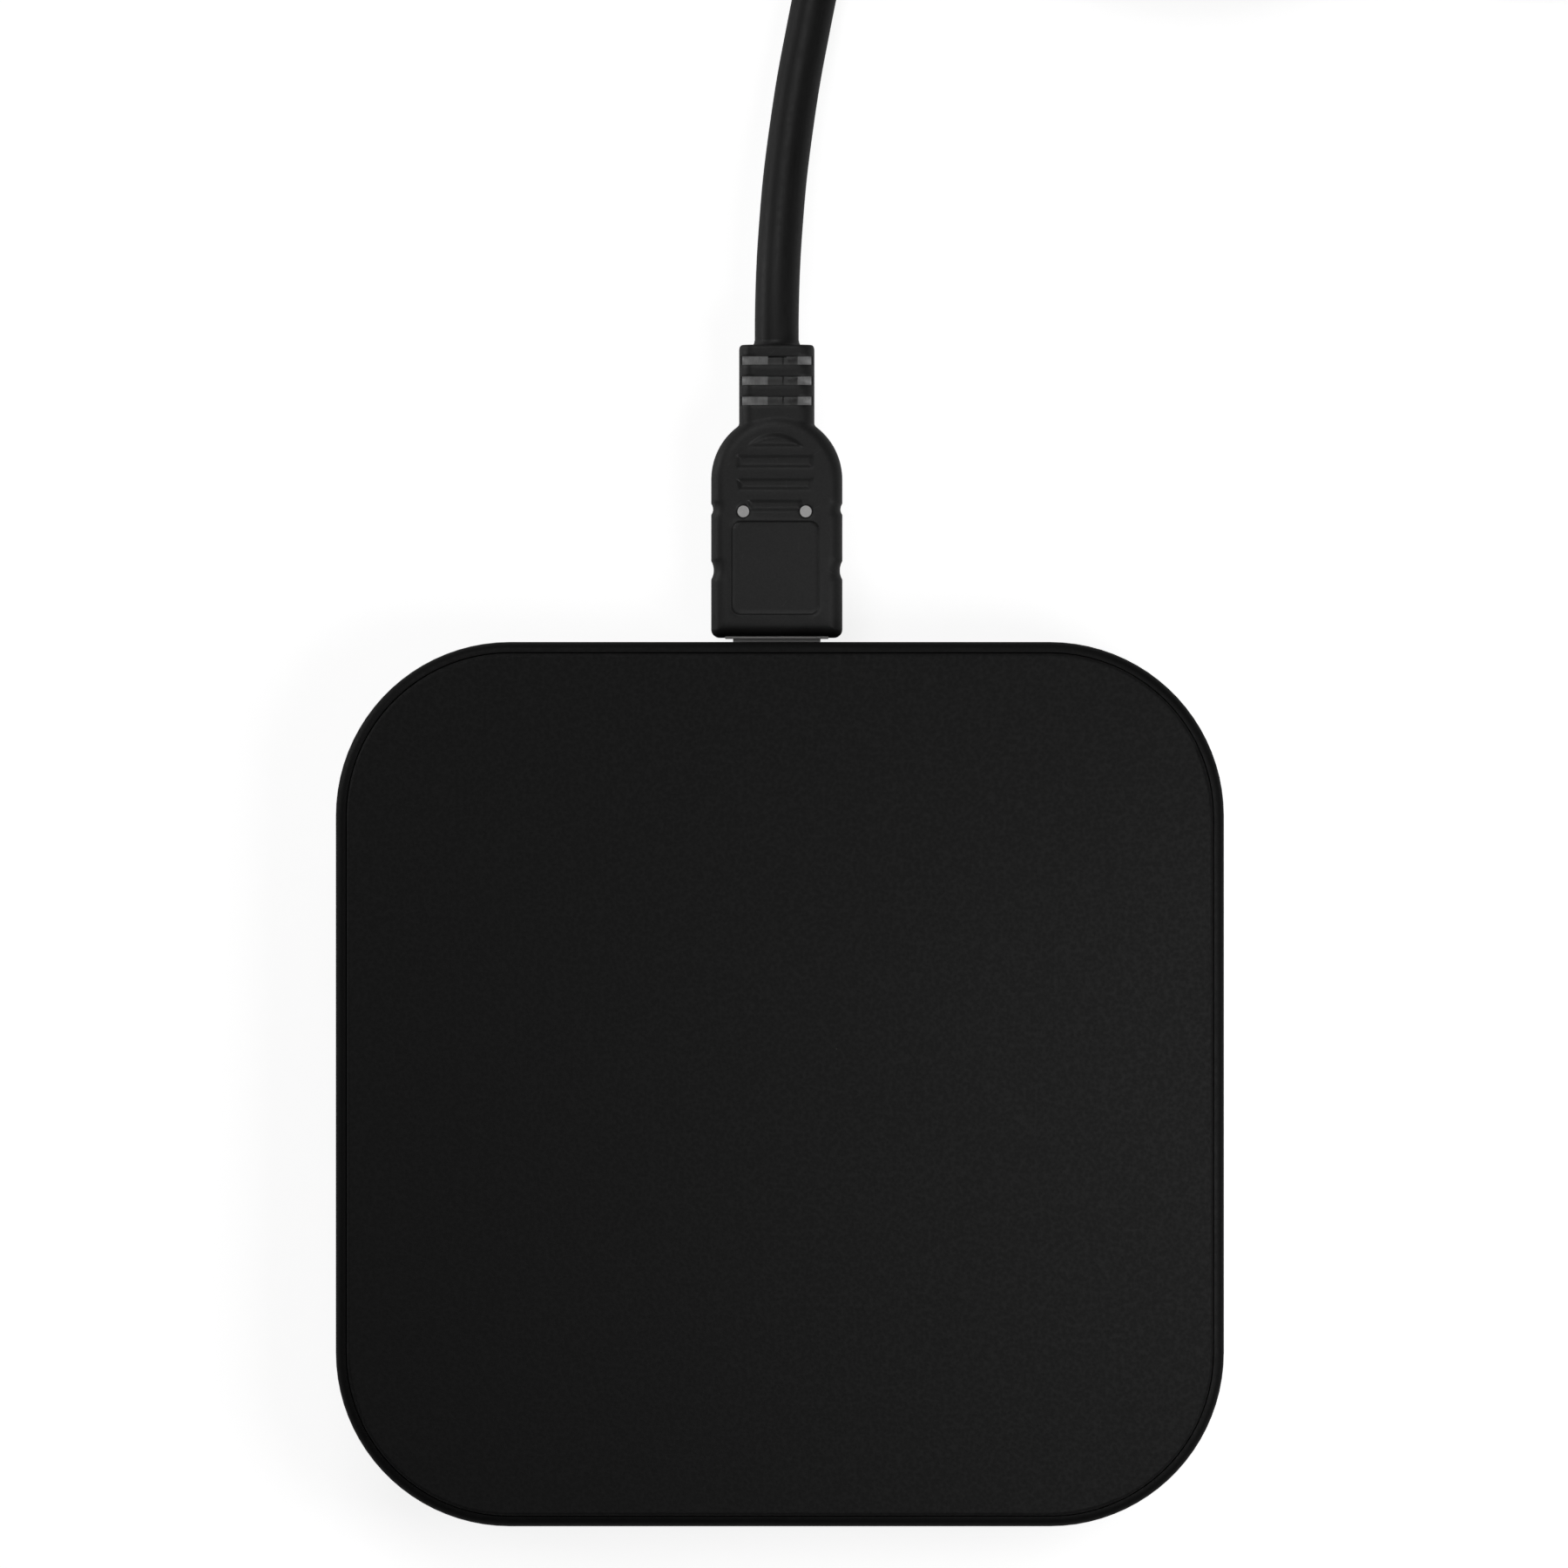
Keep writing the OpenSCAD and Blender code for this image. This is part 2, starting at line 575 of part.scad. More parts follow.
// Potting inside the can and along the strain relief
module inner_mold() {
  color([0.35, 0.35, 0.36]) difference() {
    union() {
      box([-7.85, 3.4, -3.35], [7.85, 23.6, 3.35]);
      box([-5.5, 23.5, -3.35], [5.5, plug_len - 1.3, 3.35]);
    }
    along_y(0, plug_len - 2, plug_len, 0) circle(d = cord_d);
    // lengthwise step, parting groove and dimples, above and below
    for (s = [0, 1]) mirror([0, 0, s]) {
      box([-1.4, 35.5, 3.05], [0.9, plug_len, 5]);
      box([0.9, 35.5, 2.7], [1.1, plug_len, 5]);
      box([1.1, 35.5, 3.15], [3.3, plug_len, 5]);
      for (y = window_ys) translate([2.5, y + 0.7, 2.85]) cylinder(d = 1.3, h = 2);
    }
  }
}

module shell() {
  color([0.83, 0.83, 0.84]) difference() {
    along_y(0, -shell_len, 3.4, 0) video_outline(13.9, 4.45);
    along_y(0, -shell_len - 1, 4, 0) video_outline(13.3, 3.85);
    for (s = [-1, 1], z = [0, 1]) mirror([0, 0, z]) box([s * 3.4 - 1, -8.5, 1], [s * 3.4 + 1, -4, 4]);
  }
}

// Contact carrier with its slot for a socket's tongue
module insert() {
  color([0.09, 0.09, 0.09]) difference() {
    along_y(0, -shell_len + 1.2, 3.4, 0) video_outline(13.26, 3.81);
    box([-5.9, -shell_len, -0.8], [5.9, -1, 0.8]);
  }
}

module near_plug() { translate([video_x, plug_y, video_z]) children(); }
module far_plug() { translate([TAIL[10][0], TAIL[10][1] - plug_len, TAIL[10][2]]) children(); }

module plug_overmold() { near_plug() moulding(); }
module plug_can() { near_plug() can(); }
module plug_inner_mold() { near_plug() inner_mold(); }
module plug_shell() { near_plug() shell(); }
module plug_insert() { near_plug() insert(); }
module far_plug_overmold() { far_plug() moulding(); }
module far_plug_can() { far_plug() can(); }
module far_plug_inner_mold() { far_plug() inner_mold(); }
module far_plug_shell() { far_plug() shell(); }
module far_plug_insert() { far_plug() insert(); }

module cord_lead() { color([0.1, 0.1, 0.1]) tube_along(LEAD, cord_d, 12); }
module cord_tail() { color([0.1, 0.1, 0.1]) tube_along(TAIL, cord_d, 12); }

// Three turns beside each other, two layers high
module cord_coil() {
  color([0.1, 0.1, 0.1]) translate([coil_c[0], coil_c[1], coil_z])
    rotate_extrude() translate([coil_mid_r, cord_d]) rrect(3 * cord_d, 2 * cord_d, 3);
}

// Two straps round the coil
module cable_ties() {
  w = 3 * cord_d;
  h = 2 * cord_d;
  color([0.16, 0.16, 0.16]) for (a = [125, 305]) translate([coil_c[0], coil_c[1], 0]) rotate(a)
    translate([coil_mid_r, 4, coil_z + h / 2]) rotate([90, 0, 0]) linear_extrude(8) difference() {
      rrect(w + 2, h + 2, 3.6);
      rrect(w + 0.1, h + 0.1, 3);
    }
}

top_panel();
side_frame();
base_cover();
rubber_feet();
case_screws();
front_window();
light_pipe();
main_board();
board_screws();
heat_sink();
heat_sink_pins();
thermal_pad();
processor();
memory_chips();
storage_chip();
wireless_module();
left_antenna();
right_antenna();
antenna_leads();
power_inductors();
capacitors();
ir_receiver();
status_led();
video_socket();
video_socket_tongue();
network_socket();
network_contacts();
data_socket();
data_socket_tongue();
power_inlet();
power_inlet_pin();
reset_switch();
reset_button();
plug_overmold();
plug_can();
plug_inner_mold();
plug_shell();
plug_insert();
cord_lead();
cord_coil();
cord_tail();
cable_ties();
far_plug_overmold();
far_plug_can();
far_plug_inner_mold();
far_plug_shell();
far_plug_insert();
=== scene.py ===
import math

import bpy
import numpy as np
from mathutils import Matrix, Vector
from mathutils.geometry import delaunay_2d_cdt


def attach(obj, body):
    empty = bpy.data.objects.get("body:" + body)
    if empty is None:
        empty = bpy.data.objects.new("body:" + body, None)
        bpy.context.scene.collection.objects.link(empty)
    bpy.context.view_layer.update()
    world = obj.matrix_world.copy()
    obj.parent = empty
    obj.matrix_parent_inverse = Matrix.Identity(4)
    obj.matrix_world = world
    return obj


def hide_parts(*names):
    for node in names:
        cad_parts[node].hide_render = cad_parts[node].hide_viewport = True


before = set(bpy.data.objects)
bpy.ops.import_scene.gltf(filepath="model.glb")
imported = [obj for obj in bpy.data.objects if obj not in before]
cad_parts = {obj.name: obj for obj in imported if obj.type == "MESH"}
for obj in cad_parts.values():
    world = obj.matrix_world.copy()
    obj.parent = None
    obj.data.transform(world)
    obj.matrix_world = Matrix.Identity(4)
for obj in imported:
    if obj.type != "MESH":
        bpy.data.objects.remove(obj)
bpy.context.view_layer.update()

MM = 0.001
scene = bpy.context.scene

# ------------------------------------------------------------------ camera

cam_data = bpy.data.cameras.new("camera")
cam_data.lens = 175.1
cam_data.sensor_width = 36
cam_data.clip_start = 0.02
cam_data.clip_end = 20
camera = bpy.data.objects.new("camera", cam_data)
camera.location = (0.00065, 0.04731, 1.225)
scene.collection.objects.link(camera)
scene.camera = camera

# ------------------------------------------------------------------ material building


def lin(grey):
    """Linear value of an 8-bit sRGB grey."""
    c = grey / 255
    return c / 12.92 if c <= 0.04045 else ((c + 0.055) / 1.055) ** 2.4


class Mat:
    """A node material under construction. Scales are in mm, so a grain of 0.8 has features about 0.8 mm across."""

    def __init__(self, name, **sockets):
        self.m = bpy.data.materials.new(name)
        self.m.use_nodes = True
        self.t = self.m.node_tree
        self.t.nodes.clear()
        out = self.add("ShaderNodeOutputMaterial")
        self.b = self.add("ShaderNodeBsdfPrincipled")
        self.t.links.new(self.b.outputs[0], out.inputs[0])
        self.co = self.add("ShaderNodeTexCoord").outputs["Object"]
        for key, value in sockets.items():
            self.b.inputs[key.replace("_", " ")].default_value = value

    def add(self, kind, **props):
        n = self.t.nodes.new(kind)
        for key, value in props.items():
            setattr(n, key, value)
        return n

    def put(self, socket, value):
        if isinstance(value, bpy.types.NodeSocket):
            self.t.links.new(value, socket)
        elif hasattr(socket.default_value, "__len__") and not hasattr(value, "__len__"):
            socket.default_value = [value] * 3 + [1.0] * (len(socket.default_value) - 3)
        elif hasattr(value, "__len__") and len(socket.default_value) == 4 and len(value) == 3:
            socket.default_value = [*value, 1.0]
        else:
            socket.default_value = value

    def math(self, op, a, b=None, c=None, clamp=False):
        n = self.add("ShaderNodeMath", operation=op, use_clamp=clamp)
        for i, v in enumerate((a, b, c)):
            if v is not None:
                self.put(n.inputs[i], v)
        return n.outputs[0]

    def scaled(self, sx, sy, sz, vec=None):
        n = self.add("ShaderNodeVectorMath", operation="MULTIPLY")
        self.put(n.inputs[0], vec or self.co)
        n.inputs[1].default_value = (sx, sy, sz)
        return n.outputs[0]

    def noise(self, size, detail=2.0, rough=0.5, vec=None, distortion=0.0):
        n = self.add("ShaderNodeTexNoise")
        self.put(n.inputs["Vector"], vec or self.co)
        n.inputs["Scale"].default_value = 1000 / size
        n.inputs["Detail"].default_value = detail
        n.inputs["Roughness"].default_value = rough
        n.inputs["Distortion"].default_value = distortion
        return n.outputs["Fac"]

    def voronoi(self, size, feature="F1", out="Distance", vec=None, rand=1.0):
        n = self.add("ShaderNodeTexVoronoi", feature=feature)
        self.put(n.inputs["Vector"], vec or self.co)
        n.inputs["Scale"].default_value = 1000 / size
        n.inputs["Randomness"].default_value = rand
        return n.outputs[out]

    def span(self, v, lo, hi, to_lo=0.0, to_hi=1.0, smooth=True):
        n = self.add("ShaderNodeMapRange", interpolation_type="SMOOTHSTEP" if smooth else "LINEAR")
        self.put(n.inputs["Value"], v)
        n.inputs["From Min"].default_value = lo
        n.inputs["From Max"].default_value = hi
        n.inputs["To Min"].default_value = to_lo
        n.inputs["To Max"].default_value = to_hi
        return n.outputs["Result"]

    def mix(self, fac, a, b):
        n = self.add("ShaderNodeMix", data_type="RGBA")
        self.put(n.inputs[0], fac)
        self.put(n.inputs[6], a)
        self.put(n.inputs[7], b)
        return n.outputs[2]

    def axis(self, i, vec=None):
        n = self.add("ShaderNodeSeparateXYZ")
        self.put(n.inputs[0], vec or self.co)
        return n.outputs[i]

    def specks(self, cell, share, radius):
        """Sparse small dots: a share of the cells hold one each."""
        n = self.add("ShaderNodeTexVoronoi", feature="F1")
        self.put(n.inputs["Vector"], self.co)
        n.inputs["Scale"].default_value = 1000 / cell
        hue = self.axis(0, n.outputs["Color"])
        size = self.span(hue, 1 - share, 1.0, 0.0, radius / cell, smooth=False)
        near = self.math("SUBTRACT", size, n.outputs["Distance"])
        return self.math("MULTIPLY", near, 3 * cell / radius, clamp=True)

    def scratches(self, cell, share, width):
        """A few fine hairlines: parts of the edges between large cells."""
        edge = self.voronoi(cell, "DISTANCE_TO_EDGE")
        line = self.span(edge, 0.0, width / cell, 1.0, 0.0)
        where = self.span(self.noise(cell * 0.45, 1), 1 - share - 0.04, 1 - share, 0.0, 1.0)
        return self.math("MULTIPLY", line, where)

    def bump(self, height, microns, after=None, strength=1.0):
        n = self.add("ShaderNodeBump")
        n.inputs["Strength"].default_value = strength
        n.inputs["Distance"].default_value = microns * 1e-6
        self.put(n.inputs["Height"], height)
        if after is not None:
            self.put(n.inputs["Normal"], after)
        return n.outputs[0]

    def done(self, color=None, rough=None, normal=None):
        if color is not None:
            self.put(self.b.inputs["Base Color"], color)
        if rough is not None:
            self.put(self.b.inputs["Roughness"], rough)
        if normal is not None:
            self.put(self.b.inputs["Normal"], normal)
        return self.m


def tint(v, warm=0.0):
    return (v * (1 + warm), v, v * (1 - warm))


def grained(name, lo, hi, grain, rough, microns, warm=0.0, dust=0.0, spec=0.5, pits=0.5):
    """Moulded plastic with a spark-eroded grain: cells and noise, some dust."""
    s = Mat(name, Specular_IOR_Level=spec)
    fine = s.noise(grain, 3, 0.6)
    cells = s.voronoi(grain * 1.25, "SMOOTH_F1")
    broad = s.noise(38, 3, 0.55)
    tone = s.math("ADD", s.span(fine, 0.3, 0.7, 0.0, 0.7), s.span(broad, 0.3, 0.7, 0.0, 0.3))
    color = s.mix(tone, tint(lo, warm), tint(hi, warm))
    if dust:
        color = s.mix(s.math("MULTIPLY", s.specks(7.0, dust, 0.13), 0.6), color, tint(0.09, 0.05))
    r = s.math("ADD", s.span(s.noise(grain * 2.2, 2), 0.3, 0.7, rough[0], rough[1]), s.span(broad, 0.35, 0.65, -0.02, 0.02))
    h = s.math("ADD", s.math("MULTIPLY", fine, 1 - pits), s.math("MULTIPLY", cells, pits))
    return s.done(color, r, s.bump(h, microns))


def metal(name, lo, hi, rough, stretch=(1, 1, 1), grain=0.5, microns=2.0, warm=0.0, hue=None, stain=6.0):
    """Sheet metal or plating with drawn lines, faint stains and small scratches."""
    s = Mat(name, Metallic=1.0)
    lines = s.noise(grain, 3, 0.6, vec=s.scaled(*stretch))
    stains = s.noise(stain, 4, 0.6)
    fac = s.math("ADD", s.span(lines, 0.3, 0.7, 0, 0.5), s.span(stains, 0.35, 0.65, 0, 0.5))
    a, b = (tint(lo, warm), tint(hi, warm)) if hue is None else hue
    scr = s.scratches(3.0, 0.4, 0.03)
    r = s.math("ADD", s.span(stains, 0.3, 0.7, rough[0], rough[1]), s.span(lines, 0.3, 0.7, -0.03, 0.05))
    r = s.math("ADD", r, s.math("MULTIPLY", scr, 0.15))
    h = s.math("SUBTRACT", lines, s.math("MULTIPLY", scr, 0.5))
    return s.done(s.mix(fac, a, b), r, s.bump(h, microns))


# ------------------------------------------------------------------ the materials


def top_plastic():
    s = Mat("top_grain", Specular_IOR_Level=0.36)
    fine = s.noise(0.44, 3, 0.62)
    cells = s.voronoi(0.62, "SMOOTH_F1")
    mid = s.noise(1.9, 3, 0.55)
    broad = s.noise(45, 3, 0.5)
    grain = s.math("ADD", s.math("MULTIPLY", fine, 0.6), s.math("MULTIPLY", cells, 0.5))
    tone = s.math("ADD", s.span(grain, 0.35, 0.75, 0.0, 0.65), s.math("ADD", s.span(mid, 0.3, 0.7, 0.0, 0.10), s.span(broad, 0.3, 0.7, 0.0, 0.25)))
    color = s.mix(tone, tint(0.0048), tint(0.0112))
    color = s.mix(s.math("MULTIPLY", s.specks(9.0, 0.05, 0.15), 0.55), color, tint(0.08, 0.04))
    rough = s.math("ADD", s.span(grain, 0.35, 0.75, 0.67, 0.57), s.span(broad, 0.35, 0.65, -0.015, 0.015))
    return s.done(color, rough, s.bump(grain, 32, strength=0.9))


def frame_plastic():
    return grained("frame_grain", 0.0030, 0.0056, 0.34, (0.50, 0.60), 12, dust=0.02, spec=0.28, pits=0.4)


def base_plastic():
    return grained("base_grain", 0.0085, 0.0135, 0.5, (0.52, 0.64), 26, dust=0.05)


def foot_rubber():
    s = Mat("foot_rubber", Specular_IOR_Level=0.35)
    fine = s.noise(0.35, 3, 0.65)
    bloom = s.noise(4.0, 4, 0.6)
    color = s.mix(s.span(bloom, 0.35, 0.7), tint(0.013), tint(0.024, 0.03))
    color = s.mix(s.math("MULTIPLY", s.specks(1.6, 0.25, 0.1), 0.5), color, tint(0.13, 0.06))
    return s.done(color, s.span(fine, 0.3, 0.7, 0.72, 0.9), s.bump(s.math("ADD", fine, bloom), 30))


def window_plastic():
    s = Mat("remote_window", Specular_IOR_Level=0.5, Coat_Weight=0.25)
    swirl = s.noise(5.0, 3, 0.5)
    color = s.mix(s.span(swirl, 0.3, 0.7), (0.0075, 0.0024, 0.0034), (0.0105, 0.0034, 0.0048))
    color = s.mix(s.math("MULTIPLY", s.specks(2.4, 0.2, 0.06), 0.4), color, tint(0.12, 0.05))
    rough = s.math("ADD", s.span(swirl, 0.3, 0.7, 0.05, 0.09), s.math("MULTIPLY", s.scratches(3.5, 0.35, 0.02), 0.25))
    return s.done(color, rough, s.bump(s.noise(9.0, 2), 14))


def clear_plastic():
    s = Mat("clear_acrylic", Transmission_Weight=0.92, IOR=1.49)
    c = s.noise(2.0, 3)
    color = s.mix(s.span(c, 0.3, 0.7), (0.80, 0.84, 0.86), (0.9, 0.92, 0.93))
    return s.done(color, s.span(c, 0.3, 0.7, 0.06, 0.16), s.bump(s.noise(0.8, 2), 6))


def board():
    s = Mat("board_laminate", Specular_IOR_Level=0.5, Coat_Weight=0.35, Coat_Roughness=0.2)
    b = s.add("ShaderNodeTexBrick", offset=0.37, offset_frequency=3, squash=1.7, squash_frequency=4)
    s.put(b.inputs["Vector"], s.scaled(1, 1, 0.001))
    b.inputs["Scale"].default_value = 95
    b.inputs["Mortar Size"].default_value = 0.035
    b.inputs["Mortar Smooth"].default_value = 0.2
    track = b.outputs["Fac"]
    fine = s.add("ShaderNodeTexBrick", offset=0.61, offset_frequency=2, squash=0.6, squash_frequency=3)
    s.put(fine.inputs["Vector"], s.scaled(1, 1, 0.001))
    fine.inputs["Scale"].default_value = 310
    fine.inputs["Mortar Size"].default_value = 0.09
    tracks = s.math("MAXIMUM", track, s.math("MULTIPLY", fine.outputs["Fac"], s.span(s.noise(14, 2), 0.5, 0.54)))
    weave = s.noise(0.5, 2, vec=s.scaled(1, 1, 0.2))
    color = s.mix(s.span(weave, 0.3, 0.7), (0.0075, 0.055, 0.024), (0.011, 0.072, 0.032))
    color = s.mix(tracks, color, (0.018, 0.115, 0.05))
    vias = s.specks(2.2, 0.3, 0.32)
    color = s.mix(vias, color, (0.55, 0.56, 0.5))
    return s.done(color, s.span(weave, 0.3, 0.7, 0.3, 0.42), s.bump(s.math("ADD", tracks, vias), 25))


def chip_black():
    s = Mat("chip_epoxy", Specular_IOR_Level=0.45)
    fine = s.noise(0.22, 3, 0.7)
    cloud = s.noise(3.0, 3)
    color = s.mix(s.span(cloud, 0.3, 0.7), tint(0.012), tint(0.019))
    return s.done(color, s.span(fine, 0.3, 0.7, 0.55, 0.72), s.bump(fine, 10))


def antenna_gold():
    return metal("antenna_foil", 0, 0, (0.26, 0.36), grain=0.4, hue=((0.72, 0.5, 0.2), (0.86, 0.63, 0.3)))


def contact_gold():
    return metal("contact_gold", 0, 0, (0.16, 0.26), stretch=(1, 0.15, 1), grain=0.25, hue=((0.86, 0.6, 0.24), (0.95, 0.72, 0.36)))


def lamp():
    s = Mat("lamp_lens", Emission_Strength=0.15)
    c = s.noise(0.4, 2)
    s.put(s.b.inputs["Emission Color"], (0.9, 0.95, 0.85))
    return s.done(s.mix(s.span(c, 0.3, 0.7), (0.78, 0.82, 0.68), (0.88, 0.9, 0.8)), s.span(c, 0.3, 0.7, 0.25, 0.4), s.bump(c, 8))


def plug_vinyl():
    s = Mat("plug_vinyl", Specular_IOR_Level=0.62)
    fine = s.noise(0.34, 3, 0.62)
    mid = s.noise(1.1, 3, 0.55)
    broad = s.noise(9.0, 3, 0.5)
    tone = s.math("ADD", s.span(fine, 0.3, 0.7, 0.0, 0.45), s.math("ADD", s.span(mid, 0.3, 0.7, 0.0, 0.25), s.span(broad, 0.3, 0.7, 0.0, 0.3)))
    color = s.mix(tone, tint(0.0150), tint(0.0250))
    scr = s.math("MULTIPLY", s.scratches(7.0, 0.36, 0.045), 0.8)
    color = s.mix(s.math("MULTIPLY", scr, 0.5), color, tint(0.085))
    color = s.mix(s.math("MULTIPLY", s.specks(6.0, 0.06, 0.16), 0.9), color, tint(0.5, 0.02))
    rough = s.math("ADD", s.span(fine, 0.3, 0.7, 0.53, 0.45), s.span(broad, 0.3, 0.7, -0.02, 0.03))
    h = s.math("SUBTRACT", s.math("ADD", fine, s.math("MULTIPLY", mid, 0.4)), s.math("MULTIPLY", scr, 0.8))
    return s.done(color, rough, s.bump(h, 12))


def cord_vinyl():
    s = Mat("cord_vinyl", Specular_IOR_Level=0.52)
    a = s.add("ShaderNodeAttribute", attribute_name="lie").outputs["Vector"]
    drawn = s.noise(0.30, 3, 0.6, vec=s.scaled(1, 0.05, 1, a))
    peel = s.noise(0.75, 2, 0.5, vec=a)
    broad = s.noise(16, 3, 0.5, vec=s.scaled(1, 0.5, 1, a))
    tone = s.math("ADD", s.span(drawn, 0.3, 0.7, 0.0, 0.45), s.math("ADD", s.span(peel, 0.3, 0.7, 0, 0.2), s.span(broad, 0.3, 0.7, 0.0, 0.35)))
    color = s.mix(tone, tint(0.0130), tint(0.0220))
    color = s.mix(s.math("MULTIPLY", s.specks(5.0, 0.05, 0.12), 0.6), color, tint(0.1, 0.04))
    rough = s.math("ADD", s.span(peel, 0.3, 0.7, 0.44, 0.52), s.span(broad, 0.3, 0.7, -0.02, 0.03))
    return s.done(color, rough, s.bump(s.math("ADD", s.math("MULTIPLY", drawn, 0.7), s.math("MULTIPLY", peel, 0.6)), 14))


def inner_mold():
    s = Mat("inner_nylon", Specular_IOR_Level=0.45, Subsurface_Weight=0.25, Subsurface_Radius=(0.0006, 0.0006, 0.0006))
    fibre = s.noise(0.45, 3, 0.6, vec=s.scaled(1, 0.3, 1))
    cloud = s.noise(1.6, 3)
    color = s.mix(s.math("ADD", s.span(fibre, 0.3, 0.7, 0, 0.5), s.span(cloud, 0.3, 0.7, 0, 0.5)), tint(0.60), tint(0.92))
    # painted shade: the channel floors, which lie nearer the plug's middle plane, are darkened towards black
    middle = s.math("SUBTRACT", 0.0111, s.math("MULTIPLY", s.math("GREATER_THAN", s.axis(0), 0.06), 0.0056))
    height = s.math("ABSOLUTE", s.math("SUBTRACT", s.axis(2), middle))
    painted_shade_depth = s.math("ADD", height, s.span(cloud, 0.3, 0.7, -0.00003, 0.00003))
    # painted shade in the deeper channels, mixed into the nylon colour
    color = s.mix(s.span(painted_shade_depth, 0.00318, 0.00331, 0.58, 0.0), color, tint(0.085))
    return s.done(color, s.span(fibre, 0.3, 0.7, 0.38, 0.52), s.bump(s.math("ADD", fibre, cloud), 22))


def tie_fabric():
    s = Mat("tie_weave", Specular_IOR_Level=0.25, Sheen_Weight=0.35, Sheen_Roughness=0.5)
    a = s.add("ShaderNodeAttribute", attribute_name="lie").outputs["Vector"]
    u, v = s.axis(0, a), s.axis(1, a)
    warp = s.math("SINE", s.math("MULTIPLY", u, 2 * math.pi / 0.00062))
    weft = s.math("SINE", s.math("MULTIPLY", v, 2 * math.pi / 0.00062))
    weave = s.math("MULTIPLY", warp, weft)
    fuzz = s.noise(0.16, 3, 0.7)
    loops = s.math("ADD", s.math("MULTIPLY", weave, 0.5), s.math("MULTIPLY", fuzz, 0.9))
    color = s.mix(s.span(loops, 0.0, 0.95), tint(0.010), tint(0.032, 0.02))
    return s.done(color, s.span(fuzz, 0.3, 0.7, 0.75, 0.92), s.bump(loops, 130))


MADE = {
    "top_plastic": top_plastic,
    "frame_plastic": frame_plastic,
    "base_plastic": base_plastic,
    "foot_rubber": foot_rubber,
    "screw_steel": lambda: metal("screw_black_zinc", 0.10, 0.19, (0.32, 0.45), grain=0.3, microns=4),
    "window_plastic": window_plastic,
    "clear_plastic": clear_plastic,
    "board": board,
    "bright_steel": lambda: metal("bright_steel", 0.55, 0.7, (0.25, 0.36), grain=0.3, warm=0.01),
    "cooler_metal": lambda: metal("cooler_aluminium", 0.52, 0.66, (0.34, 0.46), stretch=(1, 0.06, 1), grain=0.3, microns=4),
    "white_plastic": lambda: grained("white_nylon", 0.62, 0.74, 0.4, (0.42, 0.52), 10, warm=0.03),
    "pad_rubber": lambda: grained("thermal_pad", 0.30, 0.40, 0.5, (0.7, 0.8), 20, warm=-0.12),
    "chip_black": chip_black,
    "tin_can": lambda: metal("tin_plate", 0.56, 0.70, (0.28, 0.4), stretch=(0.1, 1, 1), grain=0.3),
    "antenna_gold": antenna_gold,
    "lead_black": lambda: grained("lead_sheath", 0.014, 0.024, 0.3, (0.4, 0.5), 8),
    "ferrite": lambda: grained("ferrite_moulding", 0.045, 0.07, 0.25, (0.6, 0.75), 14, warm=-0.03),
    "cap_metal": lambda: metal("can_aluminium", 0.55, 0.68, (0.3, 0.4), stretch=(1, 1, 0.08), grain=0.3),
    "lens_black": lambda: grained("receiver_epoxy", 0.012, 0.02, 0.6, (0.15, 0.22), 4),
    "lamp": lamp,
    "socket_steel": lambda: metal("socket_nickel", 0.58, 0.72, (0.24, 0.34), stretch=(1, 0.1, 1), grain=0.3, warm=0.01),
    "socket_black": lambda: grained("socket_moulding", 0.010, 0.018, 0.3, (0.45, 0.55), 10),
    "contact_gold": contact_gold,
    "button_plastic": lambda: grained("button_plastic", 0.022, 0.034, 0.4, (0.4, 0.5), 10),
    "plug_vinyl": plug_vinyl,
    "plug_metal": lambda: metal("plug_nickel", 0.84, 0.93, (0.44, 0.50), grain=0.35, warm=0.010, microns=2, stain=2.5),
    "inner_mold": inner_mold,
    "cord_vinyl": cord_vinyl,
    "tie_fabric": tie_fabric,
}
FINISH = {slot: make() for slot, make in MADE.items()}
for node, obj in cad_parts.items():
    slot = obj.data.materials[0].name.split(".")[0]
    obj.material_slots[0].material = FINISH[slot]


def piece(name, verts, faces, slot, body, smooth_deg=40.0, attribute=None, transform=None):
    """A new mesh piece in the row frame, from points in mm."""
    me = bpy.data.meshes.new(name)
    me.from_pydata([tuple(v) for v in (np.asarray(verts, float) * MM)], [], [tuple(int(i) for i in f) for f in faces])
    if transform is not None:
        me.transform(transform)
    me.polygons.foreach_set("use_smooth", [True] * len(me.polygons))
    me.set_sharp_from_angle(angle=math.radians(smooth_deg))
    if attribute is not None:
        a = me.attributes.new("lie", "FLOAT_VECTOR", "POINT")
        a.data.foreach_set("vector", (np.asarray(attribute, float) * MM).astype(np.float32).ravel())
    me.validate()
    me.update()
    o = bpy.data.objects.new(name, me)
    o.data.materials.append(FINISH[slot])
    scene.collection.objects.link(o)
    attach(o, body)
    return o


# ------------------------------------------------------------------ the lead

LEAD = [(-0.5, 115, 11.1), (-0.5, 117, 11.1), (-0.5, 121, 11.1), (-0.4, 126, 10.9), (-0.2, 131, 10.3),
        (0.2, 137, 9.3), (0.8, 144, 7.9), (1.8, 152, 6.3), (3, 160, 5), (4.3, 167, 4.2), (5.9, 175, 3.7),
        (8, 184, 3.5), (10.5, 194, 3.5), (13.3, 204, 3.5), (16.7, 215, 3.6), (20.1, 225, 4), (24.1, 235.6, 4.5)]
TAIL = [(63, 262, 11.5), (69, 262, 11.5), (75, 262, 11.3), (81, 262, 10.5), (87, 262, 9), (92, 262, 7.6),
        (100.6, 260.6, 6.1), (108.5, 256.7, 5.5), (114.7, 250.5, 5.5), (118.6, 242.7, 5.5), (120, 234, 5.5), (120, 232, 5.5)]
COIL = (63.0, 220.0)


